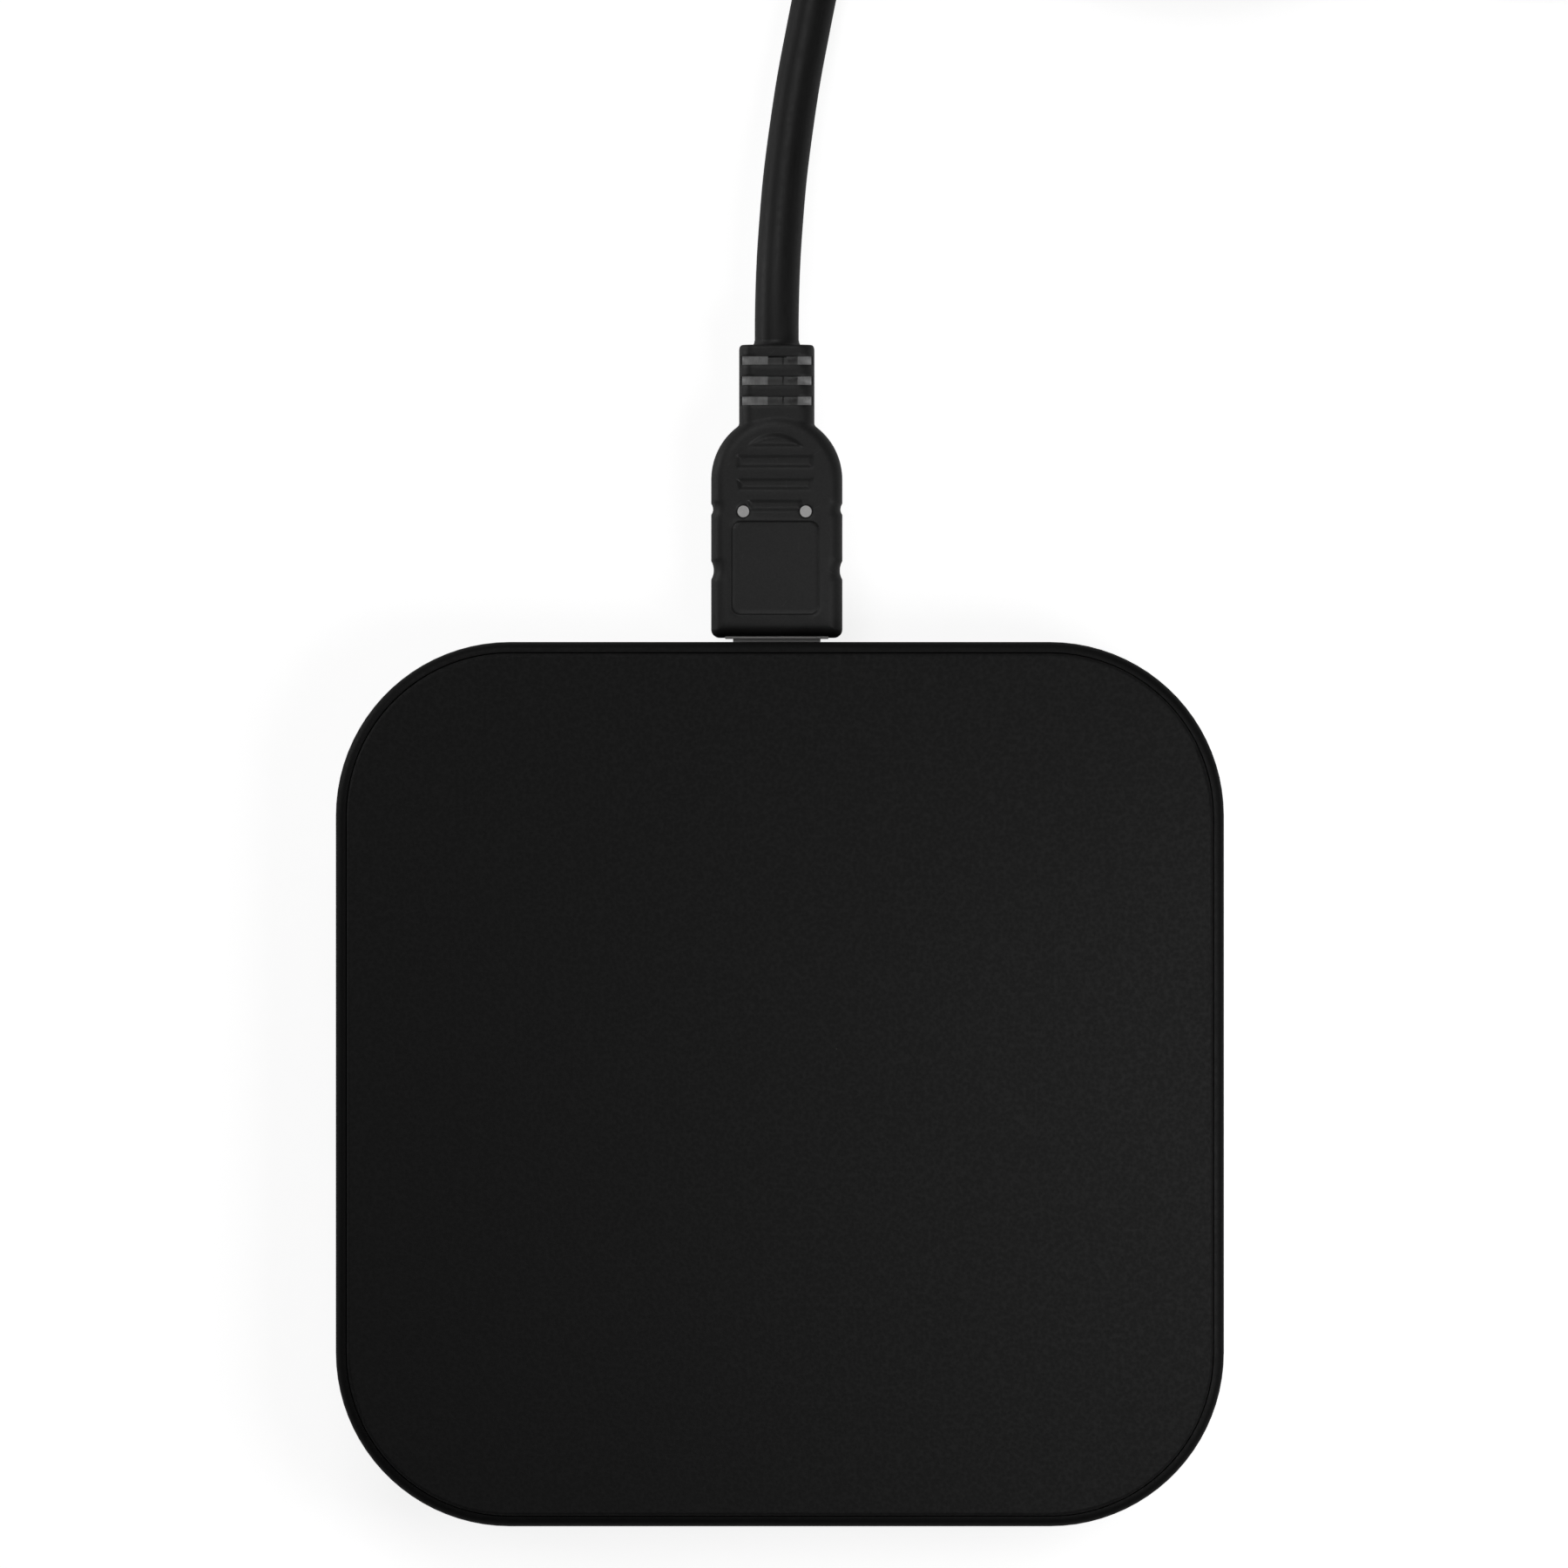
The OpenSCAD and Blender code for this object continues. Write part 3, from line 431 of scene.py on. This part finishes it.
def ease(t):
    t = min(1.0, max(0.0, t))
    return t * t * (3 - 2 * t)


def coil_point(a):
    """Centre line of the coil at unwrapped angle a, which falls from 158.2 to -1710 degrees."""
    def shift(start, end):
        return ease((start - a) / (start - end))
    r = 42 - 7 * shift(-142, -202) - 7 * shift(-502, -562) + 7 * shift(-1080, -1140) + 7 * shift(-1440, -1500)
    z = 4.5 + 7 * shift(-780, -840)
    t = math.radians(a)
    return (COIL[0] + r * math.cos(t), COIL[1] + r * math.sin(t), z)


def smooth_line(pts, step):
    """Centripetal Catmull-Rom line through the points, resampled."""
    p = [np.array(q, float) for q in pts]
    p = [2 * p[0] - p[1], *p, 2 * p[-1] - p[-2]]
    out = []
    for i in range(1, len(p) - 2):
        k = [0.0]
        for a, b in zip(p[i - 1:i + 2], p[i:i + 3]):
            k.append(k[-1] + max(1e-6, np.linalg.norm(b - a) ** 0.5))
        n = max(2, int(math.ceil(np.linalg.norm(p[i + 1] - p[i]) / step)))
        for j in range(n):
            t = k[1] + (k[2] - k[1]) * j / n
            a1 = (k[1] - t) / (k[1] - k[0]) * p[i - 1] + (t - k[0]) / (k[1] - k[0]) * p[i]
            a2 = (k[2] - t) / (k[2] - k[1]) * p[i] + (t - k[1]) / (k[2] - k[1]) * p[i + 1]
            a3 = (k[3] - t) / (k[3] - k[2]) * p[i + 1] + (t - k[2]) / (k[3] - k[2]) * p[i + 2]
            b1 = (k[2] - t) / (k[2] - k[0]) * a1 + (t - k[0]) / (k[2] - k[0]) * a2
            b2 = (k[3] - t) / (k[3] - k[1]) * a2 + (t - k[1]) / (k[3] - k[1]) * a3
            out.append((k[2] - t) / (k[2] - k[1]) * b1 + (t - k[1]) / (k[2] - k[1]) * b2)
    out.append(p[-2])
    return out


turns = [coil_point(158.2 - 1868.2 * i / 374) for i in range(375)]
route = smooth_line(LEAD[:-1] + turns[0:375:6] + TAIL[1:], 2.6)


def tube(line, radius, sides):
    """Closed round tube along a line with a twist-free frame; returns points, faces and where each point lies (round, along)."""
    line = np.array(line, float)
    n = len(line)
    tan = np.gradient(line, axis=0)
    tan /= np.linalg.norm(tan, axis=1)[:, None]
    side = np.cross(tan[0], [0, 0, 1.0])
    side /= np.linalg.norm(side)
    verts, lie, along = [], [], 0.0
    for i in range(n):
        if i:
            side = side - tan[i] * (side @ tan[i])
            side /= np.linalg.norm(side)
            along += np.linalg.norm(line[i] - line[i - 1])
        up = np.cross(side, tan[i])
        for j in range(sides):
            t = 2 * math.pi * j / sides
            verts.append(line[i] + radius * (math.cos(t) * side + math.sin(t) * up))
            lie.append((radius * math.cos(t), along, radius * math.sin(t)))
    faces = [(i * sides + j, i * sides + (j + 1) % sides, (i + 1) * sides + (j + 1) % sides, (i + 1) * sides + j)
             for i in range(n - 1) for j in range(sides)]
    faces = [f[::-1] for f in faces]
    faces.append(tuple(range(sides)))
    faces.append(tuple((n - 1) * sides + j for j in reversed(range(sides))))
    return verts, faces, lie


v, f, lie = tube(route, 3.5, 28)
lead = piece("video_cord", v, f, "cord_vinyl", "video_lead", attribute=lie)
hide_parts("cord_lead", "cord_coil", "cord_tail")

# ------------------------------------------------------------------ moulded plug

HW, STRAIGHT, RELIEF, LENGTH, HALF_T = 10.4, 25.1, 5.95, 46.4, 5.5
FILLET = 1.0
WINDOWS = (36.8, 40.0, 43.2)
PEGS = ((-5.3, 19.9), (4.6, 19.9))


def arc(cx, cy, r, a0, a1, step=0.22):
    n = max(3, int(abs(math.radians(a1 - a0)) * r / step) + 1)
    return [(cx + r * math.cos(math.radians(a0 + (a1 - a0) * i / n)), cy + r * math.sin(math.radians(a0 + (a1 - a0) * i / n)))
            for i in range(n + 1)]


def run(x0, y0, x1, y1, step=0.4):
    n = max(1, int(math.hypot(x1 - x0, y1 - y0) / step))
    return [(x0 + (x1 - x0) * i / n, y0 + (y1 - y0) * i / n) for i in range(n + 1)]


def plug_outline():
    """Plan of the moulding, counter-clockwise: grip notches in the sides, half-round shoulders, concave necks."""
    def notch(cx, cy, r, x):
        h = math.sqrt(r * r - (cx - x) ** 2)
        a = math.degrees(math.atan2(h, cx - x))
        return arc(cx, cy, r, 180 + a, 180 - a, 0.16), cy - h, cy + h
    n1, a0, a1 = notch(HW + 2.6, 10.7, 3.0, HW)
    n2, b0, b1 = notch(HW + 1.3, 20.4, 1.6, HW)
    cy = STRAIGHT + math.sqrt((HW + FILLET) ** 2 - (RELIEF + FILLET) ** 2)
    t = math.degrees(math.atan2(cy - STRAIGHT, RELIEF + FILLET))
    right = (run(0, 0, HW - 1.3, 0) + arc(HW - 1.3, 1.3, 1.3, -90, 0) + run(HW, 1.3, HW, a0) + n1 + run(HW, a1, HW, b0) + n2
             + run(HW, b1, HW, STRAIGHT) + arc(0, STRAIGHT, HW, 0, t) + arc(RELIEF + FILLET, cy, FILLET, 180 + t, 180)
             + run(RELIEF, cy, RELIEF, LENGTH - 0.6) + arc(RELIEF - 0.6, LENGTH - 0.6, 0.6, 0, 90) + run(RELIEF - 0.6, LENGTH, 0, LENGTH))
    left = [(-x, y) for x, y in reversed(right)]
    out = []
    for p in right + left:
        if not out or math.hypot(p[0] - out[-1][0], p[1] - out[-1][1]) > 0.02:
            out.append(p)
    if math.hypot(out[0][0] - out[-1][0], out[0][1] - out[-1][1]) < 0.02:
        out.pop()
    return np.array(out)


def to_edge(p, loop):
    """Distance of points from a closed line."""
    a, b = loop, np.roll(loop, -1, axis=0)
    d = b - a
    l2 = (d * d).sum(axis=1)
    best = np.empty(len(p))
    for k in range(0, len(p), 4000):
        wx = p[k:k + 4000, 0, None] - a[None, :, 0]
        wy = p[k:k + 4000, 1, None] - a[None, :, 1]
        t = np.clip((wx * d[:, 0] + wy * d[:, 1]) / l2, 0, 1)
        best[k:k + 4000] = np.sqrt(((wx - t * d[:, 0]) ** 2 + (wy - t * d[:, 1]) ** 2).min(axis=1))
    return best


def inside(p, loop):
    a, b = loop, np.roll(loop, -1, axis=0)
    out = np.empty(len(p), bool)
    slope = (b[:, 0] - a[:, 0]) / np.where(b[:, 1] == a[:, 1], 1e-30, b[:, 1] - a[:, 1])
    for k in range(0, len(p), 4000):
        x, y = p[k:k + 4000, 0, None], p[k:k + 4000, 1, None]
        hit = ((a[:, 1] > y) != (b[:, 1] > y)) & (x < slope * (y - a[:, 1]) + a[:, 0])
        out[k:k + 4000] = hit.sum(axis=1) % 2 == 1
    return out


def quarter(d, r):
    """Height gained over a quarter-round edge of radius r at distance d in from it."""
    t = np.clip(d, 0, r)
    return np.sqrt(np.maximum(r * r - (r - t) ** 2, 0))


def smoothstep(t):
    t = np.clip(t, 0, 1)
    return t * t * (3 - 2 * t)


def box_in(p, cx, cy, w, h, r):
    """Signed distance into a rounded rectangle, positive inside."""
    q = np.abs(p - [cx, cy]) - [w / 2 - r, h / 2 - r]
    return r - np.hypot(np.maximum(q[:, 0], 0), np.maximum(q[:, 1], 0)) - np.minimum(np.maximum(q[:, 0], q[:, 1]), 0)


def grips(p):
    """Signed distances into the grip grooves: a segment under the shoulder and three bars."""
    x, y = p[:, 0] + 0.3, p[:, 1]
    seg = np.minimum(5.7 - np.hypot(x, y - 26.6), y - 30.15)
    wide = box_in(p, -0.3, 27.85, 12.2, 2.1, 0.35)
    slant = np.minimum(box_in(p, -0.3, 24.25, 12.4, 1.9, 0.35), 6.2 - np.abs(x) - (25.2 - y) * 0.28)
    low = box_in(p, -0.3, 20.85, 8.6, 1.9, 0.35)
    return [seg, wide, slant, low]


def plug_height(p, loop, holes):
    """Height of the moulding's upper face over its middle plane."""
    x, y = p[:, 0], p[:, 1]
    edge = to_edge(p, loop)
    r = np.hypot(x, np.maximum(y - STRAIGHT, 0))
    db = np.where(y < STRAIGHT, edge, HW - r)
    zb = np.where(db >= 0, HALF_T - 2.3 + quarter(db, 2.3), HALF_T - 2.3 + 3 * db)
    dr = RELIEF - np.abs(x)
    zr = np.where(dr >= 0, 2.4 + quarter(dr, 2.6), 2.4 + 3 * dr)
    zr = np.where(y > 26, zr, -9)
    k = 0.35
    t = np.clip(0.5 + 0.5 * (zb - zr) / k, 0, 1)
    z = zr + (zb - zr) * t + k * t * (1 - t)
    z = z - (0.5 - quarter(LENGTH - y, 0.5)) - (0.45 - quarter(y, 0.45))
    panel = box_in(p, -0.25, 10.95, 14.0, 15.0, 1.5)
    z = z - 0.24 * smoothstep(panel / 0.3) + 0.06 * np.exp(-((panel + 0.1) / 0.17) ** 2)
    for g in grips(p):
        z = z - 0.36 * smoothstep((g + 0.2) / 0.95)
    for y0 in WINDOWS:
        d = box_in(p, 0, y0 + 0.7, 11.3, 1.4, 0.12)
        z = np.where(d > 0.02, 2.3, z - 0.1 * smoothstep(1 + d / 0.16))
    if holes:
        for cx, cy in PEGS:
            d = 1.08 - np.hypot(x - cx, y - cy)
            z = np.where(d > 0.02, 3.75, z - 0.07 * smoothstep(1 + d / 0.14))
    return z


def offset_points(loop, d, want):
    """Points at distance d inside the loop, beside each of its own points."""
    nxt, prv = np.roll(loop, -1, axis=0), np.roll(loop, 1, axis=0)
    t = nxt - prv
    n = np.stack([-t[:, 1], t[:, 0]], axis=1)
    n /= np.linalg.norm(n, axis=1)[:, None] + 1e-12
    q = loop + n * d
    return q[(to_edge(q, loop) > d * 0.93) & inside(q, loop) & want(q)]


def plug_face(loop, holes):
    """Upper face of the moulding as a triangle mesh: points (x, y, z) and faces."""
    pts, edges = [tuple(p) for p in loop], []
    n = len(loop)
    edges += [(i, (i + 1) % n) for i in range(n)]

    def closed(line):
        k = len(pts)
        pts.extend(line)
        edges.extend((k + i, k + (i + 1) % len(line)) for i in range(len(line)))

    def rect_loop(cx, cy, w, h, step=0.35):
        q = run(cx - w / 2, cy - h / 2, cx + w / 2, cy - h / 2, step)[:-1] + run(cx + w / 2, cy - h / 2, cx + w / 2, cy + h / 2, step)[:-1]
        return q + run(cx + w / 2, cy + h / 2, cx - w / 2, cy + h / 2, step)[:-1] + run(cx - w / 2, cy + h / 2, cx - w / 2, cy - h / 2, step)[:-1]

    for y0 in WINDOWS:
        for g in (0.0, -0.06, 0.06, 0.2):
            closed(rect_loop(0, y0 + 0.7, 11.3 + 2 * g - 0.02, 1.4 + 2 * g - 0.02))
    if holes:
        for cx, cy in PEGS:
            for g in (-0.06, -0.01, 0.06, 0.16):
                closed(arc(cx, cy, 1.08 + g, 0, 360, 0.2)[:-1])
    loose = []
    for d in (0.07, 0.17, 0.3, 0.47, 0.68, 0.93, 1.22, 1.55, 1.9, 2.4):
        loose.append(offset_points(loop, d, lambda q: np.ones(len(q), bool)))
    for r in (HW + 0.25, HW + 0.1, HW, HW - 0.07, HW - 0.17, HW - 0.3, HW - 0.47, HW - 0.68, HW - 0.93, HW - 1.22, HW - 1.55, HW - 1.9, HW - 2.4):
        q = np.array(arc(0, STRAIGHT, r, 40, 140, 0.24))
        loose.append(q[np.abs(q[:, 0]) < RELIEF - 0.05])

    def rings(shape, box, spots=(0.0, 0.08, 0.17, 0.26, 0.36), res=0.26):
        """Points along the level lines of a signed distance, by pushing grid points onto them."""
        gx, gy = np.meshgrid(np.arange(box[0], box[1], res), np.arange(box[2], box[3], res))
        g = np.stack([gx.ravel(), gy.ravel()], axis=1)
        for s in spots:
            q = g.copy()
            for _ in range(6):
                v = shape(q) - s
                gxv = (shape(q + [1e-3, 0]) - s - v) / 1e-3
                gyv = (shape(q + [0, 1e-3]) - s - v) / 1e-3
                m = gxv ** 2 + gyv ** 2 + 1e-9
                q = q - np.stack([gxv * v / m, gyv * v / m], axis=1)
            ok = (np.abs(shape(q) - s) < 2e-3) & (np.hypot(*(q - g).T) < res * 0.75)
            loose.append(q[ok])

    rings(lambda q: box_in(q, -0.25, 10.95, 14.0, 15.0, 1.5), (-7.9, 7.4, 2.8, 19.1), (-0.34, -0.22, -0.1, 0.0, 0.1, 0.2, 0.3))
    for i in range(4):
        rings(lambda q, i=i: grips(q)[i], (-7.0, 6.5, 19.3, 32.8), (-0.18, -0.04, 0.1, 0.25, 0.42, 0.6, 0.76))
    gx, gy = np.meshgrid(np.arange(-10.2, 10.3, 0.62), np.arange(0.2, LENGTH, 0.62))
    loose.append(np.stack([gx.ravel() + 0.11 * ((gy.ravel() / 0.62).astype(int) % 2), gy.ravel()], axis=1))
    # keep loose points that are inside and not too near those already kept
    kept = {}
    cell = 0.12

    def near(p, gap):
        i, j = int(math.floor(p[0] / cell)), int(math.floor(p[1] / cell))
        reach = int(math.ceil(gap / cell))
        for a in range(i - reach, i + reach + 1):
            for b in range(j - reach, j + reach + 1):
                for q in kept.get((a, b), ()):
                    if (q[0] - p[0]) ** 2 + (q[1] - p[1]) ** 2 < gap * gap:
                        return True
        return False

    def keep(p):
        kept.setdefault((int(math.floor(p[0] / cell)), int(math.floor(p[1] / cell))), []).append(p)

    for p in pts:
        keep(p)
    for k, group in enumerate(loose):
        last = k == len(loose) - 1
        group = group[inside(group, loop)]
        group = group[to_edge(group, loop) > 0.05]
        for p in group:
            p = (float(p[0]), float(p[1]))
            if not near(p, 0.3 if last else 0.07):
                keep(p)
                pts.append(p)
    got = delaunay_2d_cdt([Vector(p) for p in pts], edges, [], 0, 1e-6, False)
    xy = np.array([tuple(p) for p in got[0]], float)
    tri = np.array([t for t in got[2] if len(t) == 3], int)
    mid = xy[tri].mean(axis=1)
    a, b, c = xy[tri[:, 0]], xy[tri[:, 1]], xy[tri[:, 2]]
    area = 0.5 * ((b - a)[:, 0] * (c - a)[:, 1] - (b - a)[:, 1] * (c - a)[:, 0])
    good = inside(mid, loop) & (np.abs(area) > 1e-7)
    tri, area = tri[good], area[good]
    tri = np.where(area[:, None] > 0, tri, tri[:, ::-1])
    z = plug_height(xy, loop, holes)
    return np.column_stack([xy, z]), tri


def on_outline(xyz, loop):
    """Index of the mesh point at each outline point."""
    return [int(np.argmin(np.hypot(xyz[:, 0] - p[0], xyz[:, 1] - p[1]))) for p in loop]


def collar(radius):
    """Small flare of the moulding where the lead leaves it."""
    prof = [(radius - 0.2, -0.3), (radius + 0.75, -0.3), (radius + 0.72, 0.02), (radius + 0.42, 0.08), (radius + 0.22, 0.24),
            (radius + 0.1, 0.5), (radius + 0.04, 0.85), (radius - 0.2, 0.9)]
    k, s = 48, len(prof)
    verts = [(r * math.cos(2 * math.pi * j / k), LENGTH + y, r * math.sin(2 * math.pi * j / k)) for j in range(k) for r, y in prof]
    faces = [(j * s + i, j * s + (i + 1) % s, (j + 1) % k * s + (i + 1) % s, (j + 1) % k * s + i) for j in range(k) for i in range(s)]
    return verts, faces


def plug_mesh():
    loop = plug_outline()
    verts, faces = [], []
    rims = []
    for top in (True, False):
        xyz, tri = plug_face(loop, holes=top)
        rim = on_outline(xyz, loop)
        k = len(verts)
        if not top:
            xyz = xyz * [1, 1, -1]
            tri = tri[:, ::-1]
        verts.extend(xyz.tolist())
        faces.extend((tri + k).tolist())
        rims.append([k + i for i in rim])
    n = len(loop)
    t = np.roll(loop, -1, axis=0) - np.roll(loop, 1, axis=0)
    out = np.stack([t[:, 1], -t[:, 0]], axis=1)
    out /= np.linalg.norm(out, axis=1)[:, None]
    rows = [rims[0]]
    for z, proud in ((0.14, 0.0), (0.05, 0.045), (-0.05, 0.045), (-0.14, 0.0)):
        k = len(verts)
        away = np.where((loop[:, 1] > 0.3) & (loop[:, 1] < LENGTH - 0.1), proud, 0.0)
        verts.extend([[loop[i, 0] + out[i, 0] * away[i], loop[i, 1] + out[i, 1] * away[i], z] for i in range(n)])
        rows.append(list(range(k, k + n)))
    rows.append(rims[1])
    for a, b in zip(rows, rows[1:]):
        faces.extend([[a[i], b[i], b[(i + 1) % n], a[(i + 1) % n]] for i in range(n)])
    cv, cf = collar(3.5)
    k = len(verts)
    verts.extend(cv)
    faces.extend([[k + i for i in f] for f in cf])
    return verts, faces


PLUG = plug_mesh()
NEAR = Matrix.Translation(Vector((-0.5, 70.6, 11.1)) * MM)
FAR = Matrix.Translation(Vector((120, 234 - LENGTH, 5.5)) * MM)
near_plug = piece("plug_moulding", *PLUG, "plug_vinyl", "video_lead", smooth_deg=38, transform=NEAR)
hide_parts("plug_overmold")
far_plug = piece("far_plug_moulding", *PLUG, "plug_vinyl", "video_lead", smooth_deg=38, transform=FAR)
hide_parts("far_plug_overmold")

# ------------------------------------------------------------------ straps round the coil


def hull(points):
    """Convex hull, counter-clockwise."""
    p = sorted(set((round(x, 4), round(y, 4)) for x, y in points))

    def half(q):
        h = []
        for c in q:
            while len(h) > 1 and (h[-1][0] - h[-2][0]) * (c[1] - h[-2][1]) - (h[-1][1] - h[-2][1]) * (c[0] - h[-2][0]) <= 0:
                h.pop()
            h.append(c)
        return h[:-1]
    return half(p) + half(p[::-1])


def strap(angle):
    """Woven strap round the strands that cross one angle of the coil, with its end lapped over on top."""
    centres = []
    for k in range(-5, 1):
        a = angle + 360 * k
        if -1710 <= a <= 158.2:
            x, y, z = coil_point(a)
            centres.append((math.hypot(x - COIL[0], y - COIL[1]), z))
    ring = []
    for r, z in centres:
        ring += [(r + 3.62 * math.cos(2 * math.pi * j / 40), z + 3.62 * math.sin(2 * math.pi * j / 40)) for j in range(40)]
    line = np.array(hull(ring))
    # resample evenly, starting on top
    seg = np.linalg.norm(np.roll(line, -1, axis=0) - line, axis=1)
    along = np.concatenate([[0], np.cumsum(seg)])
    n = int(along[-1] / 0.7)
    shut = np.vstack([line, line[:1]])
    at = np.linspace(0, along[-1], n, endpoint=False)
    even = np.stack([np.interp(at, along, shut[:, i]) for i in (0, 1)], axis=1)
    start = int(np.argmin(np.abs(even[:, 0] - 33) - 5 * even[:, 1]))
    even = np.roll(even, -start, axis=0)
    lap = 16
    path = np.vstack([even, even[:lap + 1]])
    t = np.gradient(path, axis=0)
    t /= np.linalg.norm(t, axis=1)[:, None]
    out = np.stack([t[:, 1], -t[:, 0]], axis=1)
    m = len(path)
    lift = np.array([0.85 * ease((i - n + 5) / 5) for i in range(m)])
    thick, half = 0.72, 3.9
    section = []
    for s, h in ((-1, 0), (-0.97, 0), (-0.6, 0), (0, 0), (0.6, 0), (0.97, 0), (1, 0)):
        section.append((s * half, 0.0))
    section += [(half * 1.0, thick * 0.55), (half * 0.985, thick * 0.9)]
    section += [(s * half, thick) for s in (0.93, 0.5, 0, -0.5, -0.93)]
    section += [(-half * 0.985, thick * 0.9), (-half * 1.0, thick * 0.55)]
    k = len(section)
    rad = math.radians(angle)
    er, et = np.array([math.cos(rad), math.sin(rad)]), np.array([-math.sin(rad), math.cos(rad)])
    verts, lie = [], []
    s_along = np.concatenate([[0], np.cumsum(np.linalg.norm(np.diff(path, axis=0), axis=1))])
    for i in range(m):
        for w, h in section:
            q = path[i] + out[i] * (h + lift[i])
            if 0 < i < m - 1:
                pass
            end = 1 - 0.25 * (1 - ease(min(i, m - 1 - i) / 3)) if i in (0, m - 1) else 1
            xy = er * q[0] + et * w * end
            verts.append((COIL[0] + xy[0], COIL[1] + xy[1], q[1]))
            lie.append((w, s_along[i], h))
    faces = [(i * k + j, (i + 1) * k + j, (i + 1) * k + (j + 1) % k, i * k + (j + 1) % k) for i in range(m - 1) for j in range(k)]
    faces += [tuple(j for j in range(k)), tuple((m - 1) * k + j for j in reversed(range(k)))]
    return verts, faces, lie


for name, angle in (("tie_near", 125), ("tie_far", 305)):
    v, f, lie = strap(angle)
    o = piece(name, v, f, "tie_fabric", "video_lead", attribute=lie)
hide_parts("cable_ties")

# ------------------------------------------------------------------ studio

world = bpy.data.worlds.new("studio")
scene.world = world
world.use_nodes = True
wt = world.node_tree
wt.nodes.clear()
w_out = wt.nodes.new("ShaderNodeOutputWorld")
w_bg = wt.nodes.new("ShaderNodeBackground")
w_seen = wt.nodes.new("ShaderNodeBackground")
w_mix = wt.nodes.new("ShaderNodeMixShader")
w_path = wt.nodes.new("ShaderNodeLightPath")
w_bg.inputs[0].default_value = (1, 1, 1, 1)
w_co = wt.nodes.new("ShaderNodeTexCoord")
w_xyz = wt.nodes.new("ShaderNodeSeparateXYZ")
w_up = wt.nodes.new("ShaderNodeMapRange")
wt.links.new(w_co.outputs["Generated"], w_xyz.inputs[0])
wt.links.new(w_xyz.outputs[2], w_up.inputs["Value"])
for key, value in (("From Min", 0.0), ("From Max", 0.65), ("To Min", 0.16), ("To Max", 0.02)):
    w_up.inputs[key].default_value = value
wt.links.new(w_up.outputs["Result"], w_bg.inputs[1])
w_seen.inputs[0].default_value = (1, 1, 1, 1)
w_seen.inputs[1].default_value = 0.97
wt.links.new(w_path.outputs["Is Camera Ray"], w_mix.inputs[0])
wt.links.new(w_bg.outputs[0], w_mix.inputs[1])
wt.links.new(w_seen.outputs[0], w_mix.inputs[2])
wt.links.new(w_mix.outputs[0], w_out.inputs[0])

floor_mesh = bpy.data.meshes.new("floor")
floor_mesh.from_pydata([(-3, -3, 0), (3, -3, 0), (3, 3, 0), (-3, 3, 0)], [], [(0, 1, 2, 3)])
floor = bpy.data.objects.new("floor", floor_mesh)
scene.collection.objects.link(floor)
fm = Mat("floor_paper", Specular_IOR_Level=0.1)
fm.put(fm.b.inputs["Emission Strength"], fm.math("MULTIPLY_ADD", fm.add("ShaderNodeLightPath").outputs["Is Camera Ray"], 0.72, 0.12))
fm.put(fm.b.inputs["Emission Color"], (1, 1, 1))
grain = fm.noise(3.0, 3)
floor_mesh.materials.append(fm.done(fm.mix(fm.span(grain, 0.3, 0.7), tint(0.80), tint(0.82)), fm.span(grain, 0.3, 0.7, 0.85, 0.95)))


def light(name, at, aim, size, power, spread=180, size_y=None):
    d = bpy.data.lights.new(name, "AREA")
    d.energy = power
    d.shape = "RECTANGLE"
    d.size = size
    d.size_y = size_y or size
    d.spread = math.radians(spread)
    o = bpy.data.objects.new(name, d)
    o.location = at
    o.rotation_euler = (Vector(aim) - Vector(at)).to_track_quat("-Z", "Y").to_euler()
    o.visible_camera = False
    scene.collection.objects.link(o)
    return o


LIGHTS = [
    ("softbox_left_high", (-0.284, 0.314, 0.881), (0.0, 0.03, 0.02), 0.5, 0.28),
    ("softbox_back_high", (-0.15, 0.55, 0.80), (0.0, 0.03, 0.02), 0.4, 0.82),
    ("softbox_left_low", (-0.55, 0.25, 0.12), (0.0, 0.03, 0.02), 0.2, 0.285),
    ("softbox_right", (0.12, -0.02, 0.27), (0.02, -0.01, 0.02), 0.12, 0.122),
    ("softbox_right_low", (0.13, -0.02, 0.145), (0.02, -0.01, 0.02), 0.12, 0.026),
]
for spec in LIGHTS:
    light(*spec)

scene.view_settings.view_transform = "Standard"
scene.view_settings.look = "None"
